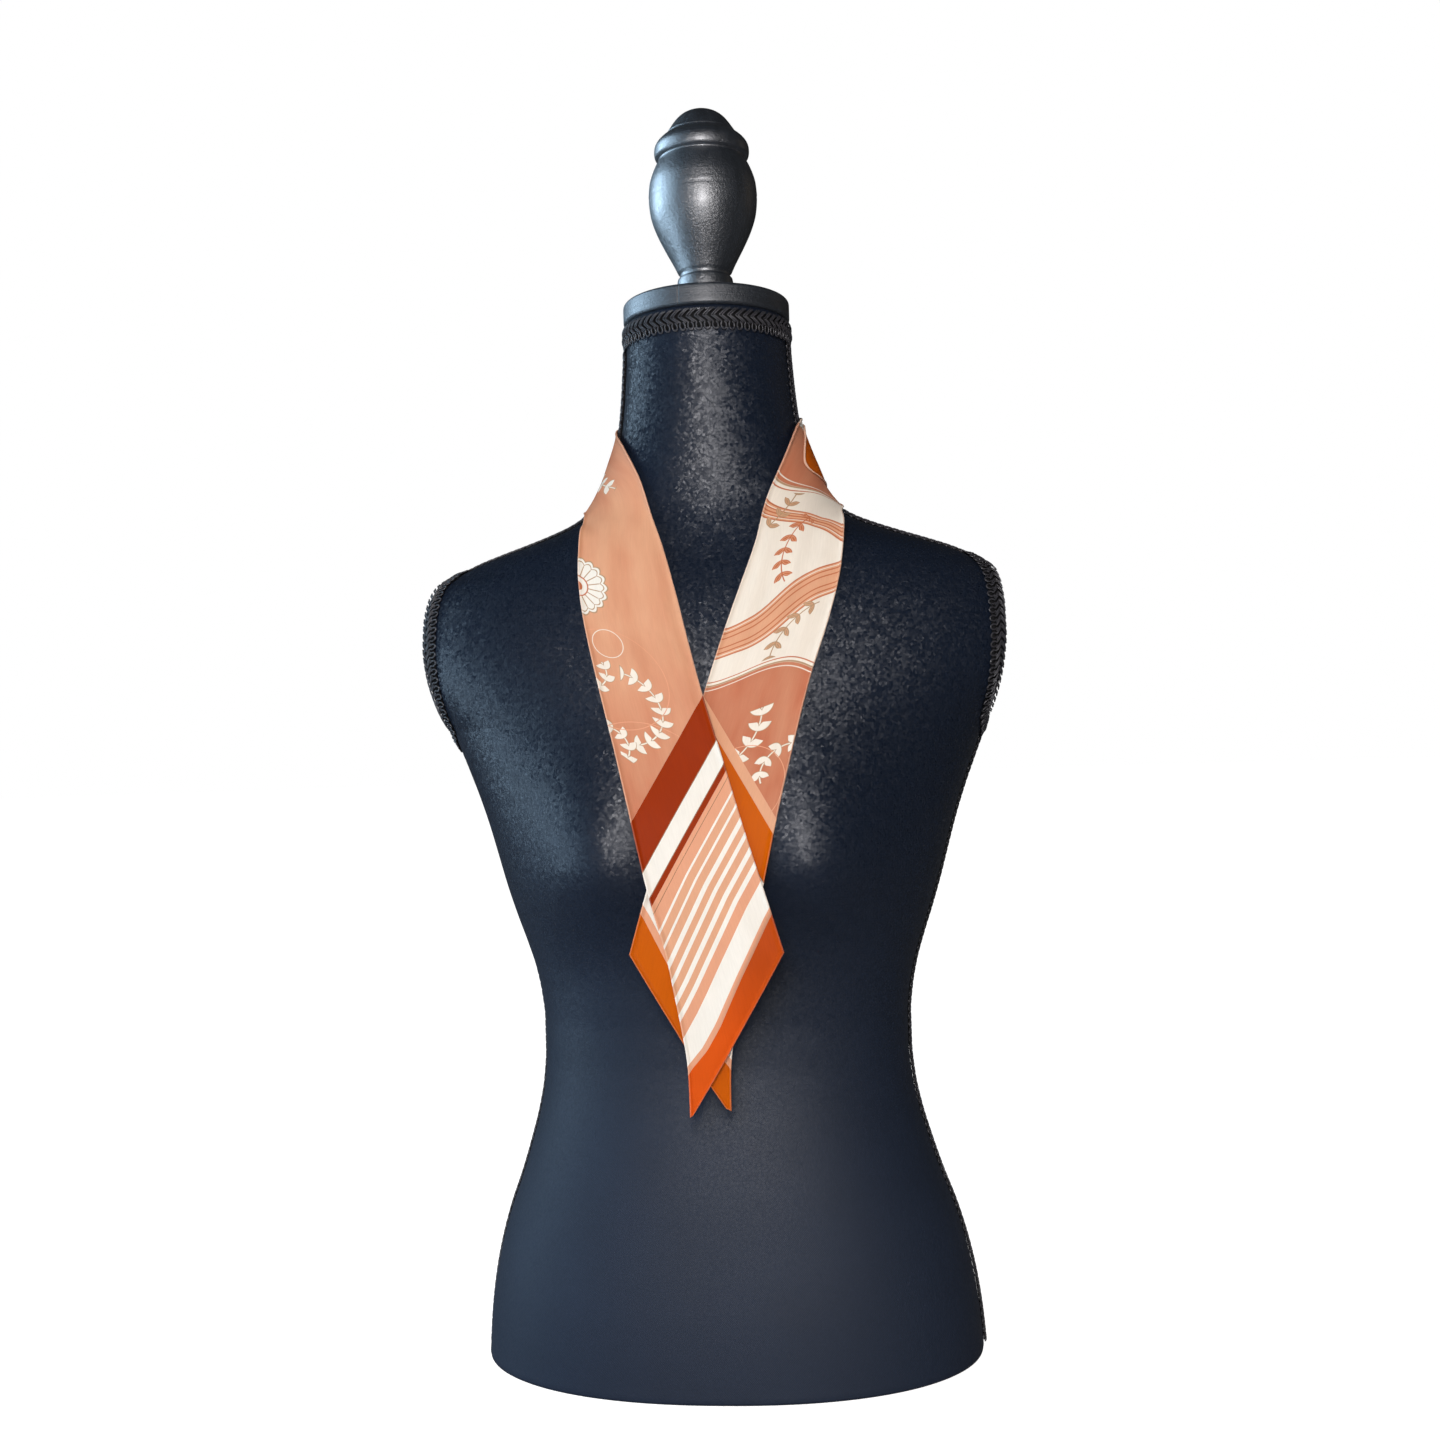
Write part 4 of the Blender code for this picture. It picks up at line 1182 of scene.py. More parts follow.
def braid_tree(surface):
    """Geometry Nodes that lay gimp loops and slanted cords at marked spots."""
    tree = bpy.data.node_groups.new("gimp_braid", "GeometryNodeTree")
    face = tree.interface
    face.new_socket("Geometry", in_out="INPUT", socket_type="NodeSocketGeometry")
    sizes = []
    for name, value in (("Width", 0.013), ("Pitch", 0.0055), ("Cord radius", 0.0006)):
        socket = face.new_socket(name, in_out="INPUT", socket_type="NodeSocketFloat")
        socket.default_value = value
        sizes.append(socket.identifier)
    face.new_socket("Geometry", in_out="OUTPUT", socket_type="NodeSocketGeometry")
    start = add_node(tree, "NodeGroupInput")
    finish = add_node(tree, "NodeGroupOutput")
    strip = start.outputs[0]
    width, pitch, cord = (Number(tree, output) for output in start.outputs[1:4])

    def node(kind, inputs, **settings):
        made = add_node(tree, kind, **settings)
        for name, source in inputs.items():
            feed(tree, made.inputs[name], source)
        return made.outputs[0]

    def together(parts):
        made = add_node(tree, "GeometryNodeJoinGeometry")
        for part in parts:
            tree.links.new(part, made.inputs[0])
        return made.outputs[0]

    def spot(along, across, above):
        return joined(tree, pitch * along, width * across, cord * above)

    def named(name, kind):
        return node("GeometryNodeInputNamedAttribute", {"Name": name}, data_type=kind)

    ring = node("GeometryNodeCurvePrimitiveCircle", {"Resolution": 5, "Radius": cord})
    arc = node("GeometryNodeCurveArc", {
        "Resolution": 12, "Radius": pitch * 0.34,
        "Start Angle": radians(120.0), "Sweep Angle": radians(300.0),
    })
    curves = [node("GeometryNodeTransform", {
        "Geometry": arc, "Translation": spot(0.0, -0.33, 1.4),
        "Rotation": (radians(9.0), 0.0, radians(12.0)), "Scale": (0.95, 1.45, 1.0),
    })]
    for begin, bend, end in (
        ((-0.50, 0.12, 1.6), (0.0, 0.30, 4.0), (0.50, 0.44, 1.4)),
        ((-0.18, 0.12, 1.6), (0.32, 0.30, 4.0), (0.82, 0.44, 1.4)),
        ((-0.50, 0.10, 2.2), (0.0, -0.06, 4.4), (0.46, -0.18, 1.8)),
        ((-0.18, 0.10, 2.2), (0.32, -0.06, 4.4), (0.78, -0.18, 1.8)),
    ):
        curves.append(node("GeometryNodeCurveQuadraticBezier", {
            "Resolution": 4, "Start": spot(*begin), "Middle": spot(*bend), "End": spot(*end),
        }))
    unit_of_braid = together([
        node("GeometryNodeCurveToMesh", {"Curve": curve, "Profile Curve": ring, "Fill Caps": True})
        for curve in curves
    ])
    turn = node(
        "FunctionNodeAxesToRotation",
        {0: named("out", "FLOAT_VECTOR"), 1: named("along", "FLOAT_VECTOR")},
        primary_axis="Z", secondary_axis="X",
    )
    copies = node("GeometryNodeInstanceOnPoints", {
        "Points": strip, "Selection": named("spot", "BOOLEAN"),
        "Instance": unit_of_braid, "Rotation": turn,
    })
    smooth = node("GeometryNodeSetShadeSmooth", {"Geometry": together([strip, copies])})
    real = node("GeometryNodeRealizeInstances", {0: smooth})
    cords = node("FunctionNodeBooleanMath", {0: named("ground", "BOOLEAN")}, operation="NOT")
    dyed = node("GeometryNodeSetMaterial", {
        "Geometry": real, "Selection": cords, "Material": surface,
    })
    tree.links.new(dyed, finish.inputs[0])
    return tree, sizes


def lay_braid(name, node, kit, measures, spots, along, out, strip, closed):
    """A braid: its backing strip, and loops and cords at spots on the path."""
    tree, sizes, surface = kit
    rows, columns = strip.shape[:2]
    under = strip.reshape(-1, 3)
    normals = grid_normals(strip, closed).reshape(-1, 3)
    points = np.concatenate([under, under + normals * BRAID_BACKING, spots])
    half = rows * columns
    faces = grid_faces(rows, columns, half, close_rows=closed)
    faces += [face[::-1] for face in grid_faces(rows, columns, 0, close_rows=closed)]
    for row in range(rows if closed else rows - 1):
        after = (row + 1) % rows
        for column, flip in ((0, False), (columns - 1, True)):
            a, b = row * columns + column, after * columns + column
            side = [a, b, b + half, a + half]
            faces.append(side if flip else side[::-1])
    for row, flip in () if closed else ((0, False), (rows - 1, True)):
        for column in range(columns - 1):
            a = row * columns + column
            end = [a, a + 1, a + 1 + half, a + half]
            faces.append(end[::-1] if flip else end)
    guide = make_piece("guide_" + name, points, facing_out(points, faces), [surface])
    none = np.zeros((2 * half, 3))
    for label, values in (("along", along), ("out", out)):
        add_attribute(guide.data, label, np.concatenate([none, values]), "FLOAT_VECTOR")
    add_attribute(guide.data, "spot", np.arange(len(points)) >= 2 * half, "BOOLEAN")
    add_attribute(guide.data, "ground", np.ones(len(faces), bool), "BOOLEAN", "FACE")
    layer = guide.modifiers.new("braid", "NODES")
    layer.node_group = tree
    for socket, measure in zip(sizes, measures):
        layer[socket] = measure * MM
    graph = bpy.context.evaluated_depsgraph_get()
    data = bpy.data.meshes.new_from_object(guide.evaluated_get(graph))
    bpy.data.objects.remove(guide)
    work = bmesh.new()
    work.from_mesh(data)
    loose = [vertex for vertex in work.verts if not vertex.link_faces]
    bmesh.ops.delete(work, geom=loose, context="VERTS")
    bmesh.ops.recalc_face_normals(work, faces=work.faces)
    work.to_mesh(data)
    work.free()
    data.name = name
    if not len(data.polygons):
        raise RuntimeError(name + " came out empty")
    piece = bpy.data.objects.new(name, data)
    bpy.context.scene.collection.objects.link(piece)
    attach(piece, "root")
    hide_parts(node)
    return piece


def build_neck_braid(settings, kit):
    """The wide braid under the cap."""
    turn = np.linspace(0.0, 2 * pi, 720, endpoint=False)
    ring = np.stack([np.sin(turn), -np.cos(turn), np.zeros(720)], axis=1)
    centre = ring * (NECK_BRAID_RADIUS + BRAID_SEAT) + (0.0, 0.0, NECK_BRAID_Z)
    spots = spaced_evenly(centre, settings.neck_pitch, True)
    reach = NECK_BRAID_WIDTH / 2 - 1.6
    levels = np.linspace(-reach, reach, 5)
    strip = ring[::4, None, :] * NECK_BRAID_RADIUS
    strip = strip + levels[None, :, None] * np.array((0.0, 0.0, 1.0))
    strip[..., 2] += NECK_BRAID_Z
    lay_braid(
        "gimp_neck", "neck_braid", kit,
        (NECK_BRAID_WIDTH, settings.neck_pitch, settings.cord_radius),
        spots, directions(spots, True), unit(spots * (1.0, 1.0, 0.0)), strip, True,
    )


def beside(points, closed, rounded=False):
    """The direction along the form's surface, square to a path."""
    return unit(np.cross(directions(points, closed), outward(points, rounded)))


def surface_strip(path, side, width, middle, rounded):
    """A flat strip lying over the form beside a path."""
    reach = width / 2 * STRIP_SHARE
    columns = [
        set_above(path + side * (middle + across), BRAID_CLEARANCE, rounded)
        for across in np.linspace(-reach, reach, 5)
    ]
    return np.stack(columns, axis=1)


def build_seam_braid(name, node, side, seam, settings, kit):
    """A narrow braid down a shoulder or side seam."""
    upper, lower, ahead, cord_size, sink = seam
    z = np.linspace(upper, lower, 900)
    forward = ahead * fade(z, lower - 1.0, lower + 24.0)
    path = np.stack([side * table_value(FORM_LEVELS, 1, z), -forward, z], axis=1)
    path = set_above(path, 0.0)
    spots = spaced_evenly(path, settings.seam_pitch, False)
    along, out = directions(spots, False), outward(spots)
    spots = set_above(spots, BRAID_CLEARANCE + BRAID_BACKING - sink)
    even = spaced_evenly(path, 2.5, False)
    strip = surface_strip(even, beside(even, False), SEAM_BRAID_WIDTH, 0.0, False)
    measures = SEAM_BRAID_WIDTH, settings.seam_pitch, settings.cord_radius * cord_size
    lay_braid(name, node, kit, measures, spots, along, out, strip, False)


def build_armhole_braid(name, node, side, settings, kit):
    """The braid round the rim of an armhole."""
    turn = np.linspace(0.0, 2 * pi, 1440, endpoint=False) * side
    z = ARMHOLE_Z + ARMHOLE_HALF_HEIGHT * np.sin(turn)
    x, y = side * table_value(FORM_LEVELS, 1, z), ARMHOLE_HALF_DEPTH * np.cos(turn)
    edge = np.stack([x, y, z], axis=1)
    middle = ARMHOLE_BRAID_INSET + ARMHOLE_BRAID_WIDTH / 2
    centre = edge + beside(edge, True, True) * middle
    centre = set_above(centre, BRAID_CLEARANCE + BRAID_SEAT, True)
    spots = spaced_evenly(centre, settings.arm_pitch, True)
    even = edge[::8]
    strip = surface_strip(even, beside(even, True, True), ARMHOLE_BRAID_WIDTH, middle, True)
    lay_braid(
        name, node, kit, (ARMHOLE_BRAID_WIDTH, settings.arm_pitch, settings.cord_radius),
        spots, directions(spots, True), outward(spots, True), strip, True,
    )


# -------------------------------------------------------------------- scarf
def scarf_lift(z, on_top):
    """Clearance of the cloth from the form at a height."""
    over_braid = fade(z, *BRAID_FADE)
    lift = SCARF_CLEARANCE + (SCARF_OVER_BRAID - SCARF_CLEARANCE) * over_braid
    return lift + np.where(on_top, SCARF_LAYER * (1.0 - fade(z, *LAYER_FADE)), 0.0)


def hang_points(x, z, on_top):
    """Points of the cloth on the chest, or hanging free below it."""
    x = x + STRAP_DRIFT * fade(z, *DRIFT_FADE)
    lift = scarf_lift(z, on_top)
    start = np.stack([x, -front_depth(x, z) - lift, z], axis=-1)
    on_form = set_above(start, lift, only_up=True)
    fall = table_value(FALL_LINE, 1, z) + lift
    return np.stack([x, np.minimum(on_form[..., 1], -fall), z], axis=-1)


def neck_points(angle, z):
    """Points of the cloth round the neck."""
    spots = points_at_angle(angle, z)
    return set_above(spots, scarf_lift(z, False), only_up=True)


def settle(points, on_top):
    """Keeps points between two stations clear of the form."""
    lift = scarf_lift(points[..., 2], on_top)
    points = set_above(points, lift, only_up=True)
    z = points[..., 2]
    fall = table_value(FALL_LINE, 1, z) + scarf_lift(z, on_top)
    hangs = (points[..., 1] < 0.0) & (z < LAYER_FADE[1])
    points[..., 1] = np.where(hangs, np.minimum(points[..., 1], -fall), points[..., 1])
    return points


def scarf_edges():
    """Both edges of the whole scarf, from the left tail to the right one."""
    left, right = STRAP[::-1].copy(), STRAP.copy()
    left[0], right[-1] = OVER_TIP, UNDER_TIP
    left[:, 2] -= OVER_TUCK * fade(left[:, 3], *TUCK_FADE)
    return [
        np.concatenate([
            hang_points(-left[:, column], left[:, column + 1], True),
            neck_points(ROUND_NECK[:, column], ROUND_NECK[:, column + 1]),
            hang_points(right[:, column], right[:, column + 1], False),
        ])
        for column in (0, 2)
    ]


def cloth_points(edges, stations, shares):
    """Points of the cloth at stations, each with its own shares across."""
    start = curve_points(edges[0], stations, TAIL_CORNERS)[:, None, :]
    end = curve_points(edges[1], stations)[:, None, :]
    points = start + (end - start) * shares[..., None]
    on_top = np.broadcast_to((stations < LEFT_SEAM)[:, None], shares.shape)
    return settle(points, on_top)


def even_stations(edges, count):
    """Stations evenly spaced along the cloth, with more at its two ends."""
    fine = np.linspace(0.0, LAST_STATION, 3000)
    middle = 0.5 * (curve_points(edges[0], fine) + curve_points(edges[1], fine))
    low = curve_points(edges[1], fine)
    steps = 0.5 * np.linalg.norm(np.diff(middle, axis=0), axis=1)
    steps += 0.5 * np.linalg.norm(np.diff(low, axis=0), axis=1)
    length = running(steps)
    inner = np.linspace(HEM_END, length[-1] - HEM_END, count)
    wanted = np.concatenate([HEM_STEPS, inner, length[-1] - HEM_STEPS[::-1]])
    stations = np.interp(wanted, length, fine)
    for corner in TAIL_CORNERS:
        stations[np.argmin(np.abs(stations - corner))] = corner
    return stations, wanted


def fold_height(stations, shares, width):
    """How far the listed folds lift the cloth."""
    height = np.zeros_like(shares)
    for first, last, share_first, share_last, reach, rise in FOLDS:
        t = np.clip((stations - first) / (last - first), 0.0, 1.0)
        middle = share_first + (share_last - share_first) * t
        ends = np.sin(pi * t) ** 0.8
        away = (shares - middle[:, None]) * width[:, None] / reach
        height += rise * ends[:, None] * np.exp(-away * away)
    return height


def hem_height(edge):
    """Thickness that the rolled hem adds at a distance from the edge."""
    middle, reach, rise = HEM_ROLL
    inside = np.clip((edge - middle) / reach, -1.0, 1.0)
    return rise * np.sqrt(1.0 - inside * inside)


def front_stripes(points, mirrored):
    """Distance above the slanted end of a tail, seen from the front."""
    x = -points[..., 0] if mirrored else points[..., 0]
    dx, dz = x - BAND_CORNER[0], points[..., 2] - BAND_CORNER[1]
    above = -BAND_SLANT[1] * dx + BAND_SLANT[0] * dz
    along = BAND_SLANT[0] * dx + BAND_SLANT[1] * dz
    low = np.clip(1.0 - above / 28.0, 0.0, 1.0)
    near_end = np.interp(along, BAND_DRIFT[:, 0], BAND_DRIFT[:, 1])
    further = np.interp(along, BAND_DRIFT[:, 0], BAND_DRIFT[:, 2])
    drift = near_end * low + further * (1.0 - low)
    drift = drift * (1.0 - fade(above, 60.0, 72.0)) * fade(above, -2.0, 6.0)
    return above - drift


def shell_of(rows, columns):
    """Faces of a shell of two grids of one size: its front, its back and its edge."""
    half = rows * columns
    back = [face[::-1] for face in grid_faces(rows, columns, half)]
    loop = [(0, c) for c in range(columns)]
    loop += [(r, columns - 1) for r in range(1, rows)]
    loop += [(rows - 1, c) for c in range(columns - 2, -1, -1)]
    loop += [(r, 0) for r in range(rows - 2, 0, -1)]
    ids = [r * columns + c for r, c in loop]
    edge = [[b, a, a + half, b + half] for a, b in zip(ids, ids[1:] + ids[:1])]
    return grid_faces(rows, columns), back, edge


def grid_normals(points, closed=False):
    """Directions square to a grid of points, away from the form."""
    normal = unit(np.cross(course(points, closed), np.gradient(points, axis=1)))
    middle = len(points) // 2, points.shape[1] // 2
    away = outward(points[middle][None, :])[0]
    return normal if normal[middle] @ away > 0.0 else -normal


def cross_shares(width, columns):
    """Shares across each row, close together at both hems."""
    fit = np.minimum(1.0, width / 8.0)[:, None]
    hem = HEM_STEPS[None, :] * fit / width[:, None]
    inner = hem[:, -1:] + (1.0 - 2 * hem[:, -1:]) * np.linspace(0, 1, columns + 2)[1:-1]
    return np.hstack([hem, inner, 1.0 - hem[:, ::-1]])


def main_cloth(edges, settings):
    """Both faces of the scarf, and what its print needs to know of them."""
    stations, length = even_stations(edges, settings.scarf_rows)
    low = curve_points(edges[0], stations, TAIL_CORNERS)
    high = curve_points(edges[1], stations)
    width = length_of(high - low)[:, 0]
    shares = cross_shares(width, settings.scarf_columns)
    base = cloth_points(edges, stations, shares)
    normals = grid_normals(base)
    from_end = np.minimum(length, length[-1] - length)[:, None]
    edge = np.minimum(shares, 1.0 - shares) * width[:, None]
    edge = np.minimum(edge, from_end)
    calm = fade(edge, 0.0, 5.0)
    folds = fold_height(stations, shares, width) * (0.35 + 0.65 * calm)
    lift = folds[..., None] + SHEET_GAP
    inner = base + normals * lift
    wall = settings.silk_wall + hem_height(edge)
    outer = base + normals * (lift + wall[..., None])
    along = np.broadcast_to(length[:, None], shares.shape)
    across = SHEET_WIDTH - (1.0 - shares) * width[:, None]
    stripe = np.full(shares.shape, NO_BAND)
    for tail, mirrored in ((stations < LEFT_TAIL_END, False), (stations > RIGHT_TAIL_START, True)):
        stripe = np.where(tail[:, None], front_stripes(base, mirrored), stripe)
    strap = np.where(stations < MIDDLE_STATION, 1.0, -1.0)[:, None] * np.ones_like(shares)
    return outer, inner, {
        "uv": np.stack([along, across], axis=-1),
        "edge_mm": edge,
        "stripe_mm": stripe,
        "strap": strap,
    }


def turned_cloth(edges, settings):
    """The turned edge: from its free hem over the cloth and round the fold."""
    rows = settings.turned_rows
    positions = np.linspace(0, len(TURNED_EDGE) - 1, rows)
    table = curve_points(TURNED_EDGE, positions)
    free, fold = table[:, :2], table[:, 2:]
    close = np.array([0.0, 0.012, 0.03, 0.055, 0.08])
    across = np.concatenate([close, np.linspace(0.11, 1.0, 16)])
    spots = free[:, None, :] + (fold - free)[:, None, :] * across[None, :, None]
    stations = RIGHT_SEAM + spots[..., 0]
    shares = spots[..., 1]

    def at(station, share):
        flat = cloth_points(edges, station.ravel(), share.ravel()[:, None])
        return flat.reshape(station.shape + (3,))

    step = 0.05
    here = at(stations, shares)
    along = at(stations + step, shares) - here
    sideways = at(stations, shares - step) - here
    normal = unit(np.cross(sideways, along))
    crown = np.sin(pi * np.clip(across, 0.0, 1.0))
    ease = fade(positions, 0.0, 2.0) * (1.0 - fade(positions, 7.0, 9.0))
    height = TURNED_HEIGHT + TURNED_RISE * fade(across, 0.0, 1.0)
    height = height[None, :] + 0.7 * crown[None, :] * ease[:, None]
    flat = here + normal * height[..., None]
    # The bend carries the cloth round the lower edge to its back.
    edge_station = RIGHT_SEAM + fold[:, 0]
    ones = np.ones_like(edge_station)
    rim = at(edge_station, ones)
    outside = unit(rim - at(edge_station, ones - step))
    bend = np.radians(np.arange(64.0, -57.0, -24.0))[None, :, None]
    curl = (
        rim[:, None, :]
        + outside[:, None, :] * (np.cos(bend) * 1.1 - 0.5)
        + normal[:, -1:] * (TURNED_HEIGHT + TURNED_RISE * np.sin(bend))
    )
    grid = np.concatenate([flat, curl], axis=1)
    normals = unit(np.cross(np.gradient(grid, axis=1), np.gradient(grid, axis=0)))
    normals *= np.sign((normals[rows // 2, 8] * normal[rows // 2, 8]).sum())
    run = running(np.linalg.norm(np.diff(grid, axis=1), axis=2))
    wall = settings.silk_wall + hem_height(run)
    long = TURNED_START + travelled(flat[:, 8])[:, None] * np.ones_like(run)
    return grid + normals * wall[..., None], grid, {
        "uv": np.stack([long, SHEET_WIDTH - run], axis=-1),
        "edge_mm": run,
        "stripe_mm": np.full(run.shape, NO_BAND),
        "strap": -np.ones(run.shape),
    }


def build_scarf(settings):
    """The scarf: one sheet of silk, its edge turned up beside the neck."""
    edges = scarf_edges()
    sheets = [main_cloth(edges, settings), turned_cloth(edges, settings)]
    length = float(sheets[0][2]["uv"][-1, 0, 0])
    points, faces, amber = [], [], []
    facts = {name: [] for name in ("uv", "edge_mm", "stripe_mm", "strap")}
    start = 0
    for number, (outer, inner, known) in enumerate(sheets):
        here = np.concatenate([outer.reshape(-1, 3), inner.reshape(-1, 3)])
        front, back, edge = shell_of(*outer.shape[:2])
        solid = facing_out(here, front + back + edge)
        faces += [[start + i for i in face] for face in solid]
        wrong_front = number == 1
        amber += [wrong_front] * len(front) + [not wrong_front] * len(back)
        amber += [wrong_front] * len(edge)
        points.append(here)
        start += len(here)
        for name, values in known.items():
            flat = values.reshape(-1, 2) if name == "uv" else values.ravel()
            facts[name].append(np.concatenate([flat, flat]))
    surfaces = [silk_print_material(length), silk_amber_material()]
    piece = make_piece("hair_scarf", np.concatenate(points), faces, surfaces)
    data = piece.data
    data.polygons.foreach_set("material_index", np.array(amber, np.int32))
    for name in ("edge_mm", "stripe_mm", "strap"):
        add_attribute(data, name, np.concatenate(facts[name]))
    set_uv(data, np.concatenate(facts["uv"])[corner_points(data)])
    data.update()
    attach(piece, "root")
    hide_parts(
        "scarf_over", "scarf_back", "scarf_under", "scarf_turned_edge"
    )
    return piece


# -------------------------------------------------------------------- stage
def build_floor(colour):
    """A wide pale round floor."""
    turn = np.linspace(0.0, 2 * pi, FLOOR_SIDES, endpoint=False)
    spots = [(0.0, 0.0, FLOOR_Z)]
    for radius in FLOOR_RINGS:
        spots += [(radius * sin(a), -radius * cos(a), FLOOR_Z) for a in turn]
    faces = [[0, 1 + i, 1 + (i + 1) % FLOOR_SIDES] for i in range(FLOOR_SIDES)]
    outer = grid_faces(len(FLOOR_RINGS), FLOOR_SIDES, 1, close_columns=True)
    faces += [face[::-1] for face in outer]
    made, tree, shader = start_material("pale_floor", Roughness=0.9, Specular_IOR_Level=0.1)
    tone = noise(tree, object_place(tree), 6.0)
    shown = mixed(tree, tone, times(colour, 0.985), tuple(colour))
    dim = ray(tree, "Is Glossy Ray") * FLOOR_DIMMED
    feed_all(
        tree, shader, Base_Color=mixed(tree, dim, shown, FLOOR_IN_GLOSS),
        Emission_Color=(1.0, 1.0, 1.0, 1.0),
        Emission_Strength=ray(tree, "Is Camera Ray") * FLOOR_GLOW,
    )
    make_piece("floor", np.array(spots) / MM, faces, [made])


def add_light(name, place, aim, size, power, colour, seen_by):
    """A soft rectangular light aimed at a height of the axis, for gloss or for matt."""
    data = bpy.data.lights.new(name, "AREA")
    data.shape = "RECTANGLE"
    data.size, data.size_y = size
    data.energy = power
    data.color = colour
    lamp = bpy.data.objects.new(name, data)
    bpy.context.scene.collection.objects.link(lamp)
    lamp.location = place
    lamp.visible_diffuse = seen_by != "gloss"
    lamp.visible_glossy = seen_by != "matt"
    away = Vector((0.0, 0.0, aim)) - Vector(place)
    lamp.rotation_euler = away.to_track_quat("-Z", "Y").to_euler()
    return lamp


def light_only(lamp, names):
    """Lets a light fall on the named pieces alone."""
    lit = bpy.data.collections.new(lamp.name + "_lit")
    for name in names:
        lit.objects.link(bpy.data.objects[name])
    lamp.light_linking.receiver_collection = lit


def build_lights(settings):
    """The front light, the window with its panes, and a warm light on one edge."""
    key, window = settings.key_power, settings.window_power
    add_light(
        "key_light", (-0.10, -1.46, 0.85), 0.35, (0.5, 0.5), key, (1.0, 0.86, 0.78), "matt"
    )
    add_light(
        "front_glint", (0.10, -1.45, 0.64), 0.48, (0.16, 0.48), key * 2.0,
        (0.97, 0.95, 0.97), "gloss",
    )
    add_light(
        "window_light", (-1.50, -0.75, 0.26), 0.20, (1.0, 1.0), window,
        (0.52, 0.80, 1.0), "matt",
    )
    for name, turn, z, height, share, wood_only in WINDOW_PANES:
        turn = radians(turn)
        place = (-PANE_DISTANCE * sin(turn), -PANE_DISTANCE * cos(turn), z)
        size = (PANE_WIDTH, height)
        lamp = add_light(name, place, 0.50, size, window * share, PANE_COLOUR, "gloss")
        if wood_only:
            light_only(lamp, PAINTED_PIECES)
    add_light(
        "warm_edge_light", (0.9, 0.45, 0.95), 0.70, (0.10, 0.45), WARM_EDGE_POWER,
        (1.0, 0.80, 0.58), "gloss",
    )


def build_world(settings):
    """An even pale surround that glossy surfaces see more dimly."""
    world = bpy.data.worlds.new("studio")
    bpy.context.scene.world = world
    world.use_nodes = True
    tree = world.node_tree
    backdrop = tree.nodes["Background"]
    soft, gloss = settings.soft_light, settings.gloss_light
    seen = ray(tree, "Is Glossy Ray") * (gloss - soft) + soft
    feed_all(tree, backdrop, Color=(1.0, 1.0, 1.0, 1.0),
             Strength=seen.larger(ray(tree, "Is Camera Ray")))


def build_camera():
    """The camera at the photograph's angle."""
    data = bpy.data.cameras.new("camera")
    data.sensor_width = CAMERA_SENSOR
    data.lens = CAMERA_LENS
    data.shift_x = CAMERA_SHIFT
    data.clip_start = 0.05
    camera = bpy.data.objects.new("camera", data)
    bpy.context.scene.collection.objects.link(camera)
    side = radians(CAMERA_SIDE)
    place = (CAMERA_DISTANCE * sin(side), -CAMERA_DISTANCE * cos(side), CAMERA_HEIGHT)
    turn = (
        Matrix.Rotation(side, 4, "Z")
        @ Matrix.Rotation(pi / 2 + atan(CAMERA_RISE), 4, "X")
        @ Matrix.Rotation(-radians(CAMERA_ROLL), 4, "Z")
    )
    camera.matrix_world = Matrix.Translation(place) @ turn
    bpy.context.scene.camera = camera


# ------------------------------------------------------------------- add-on
def colour_property(name, description, default):
    """A colour that a user can change."""
    return FloatVectorProperty(
        name=name, description=description, default=default, subtype="COLOR",
        size=4, min=0.0, max=1.0,
    )


def number_property(kind, name, description, default, low, high, **more):
    """A number that a user can change between two limits."""
    return kind(
        name=name, description=description, default=default, min=low, max=high, **more
    )


class DressFormSettings(bpy.types.PropertyGroup):
    """Sizes and colours of the form's cover and its wooden parts."""

    cover_rings: number_property(
        IntProperty, "Cover rings", "Rings of points up the jersey cover", 330, 60, 420
    )
    jersey: colour_property(
        "Jersey", "Colour of the jersey cover", (0.0050, 0.0100, 0.0225, 1.0)
    )
    paint: colour_property(
        "Paint", "Colour of the painted cap and finial", (0.0060, 0.0095, 0.0150, 1.0)
    )


class BraidSettings(bpy.types.PropertyGroup):
    """Sizes and colour of the gimp braid, in millimetres."""

    neck_pitch: number_property(
        FloatProperty, "Neck pitch", "Distance between loops at the neck, in mm", 4.8, 3.0, 12.0
    )
    arm_pitch: number_property(
        FloatProperty, "Armhole pitch", "Distance between armhole loops, in mm", 4.8, 3.0, 12.0
    )
    seam_pitch: number_property(
        FloatProperty, "Seam pitch", "Distance between loops on the seams, in mm", 4.6, 3.0, 12.0
    )
    cord_radius: number_property(
        FloatProperty, "Cord radius", "Radius of a cord of the braid, in mm", 0.47, 0.2, 1.2
    )
    colour: colour_property("Braid", "Colour of the rayon cord", (0.020, 0.021, 0.026, 1.0))


class ScarfSettings(bpy.types.PropertyGroup):
    """Sizes of the silk scarf, in millimetres."""

    silk_wall: number_property(
        FloatProperty, "Silk", "Thickness of the silk in the model, in mm", 0.45, 0.2, 1.0
    )
    scarf_rows: number_property(
        IntProperty, "Rows", "Rows of points along the scarf", 430, 120, 700
    )
    scarf_columns: number_property(
        IntProperty, "Columns", "Columns of points between the hems", 24, 8, 40
    )
    turned_rows: number_property(
        IntProperty, "Turned rows", "Rows of points along the turned edge", 90, 30, 200
    )


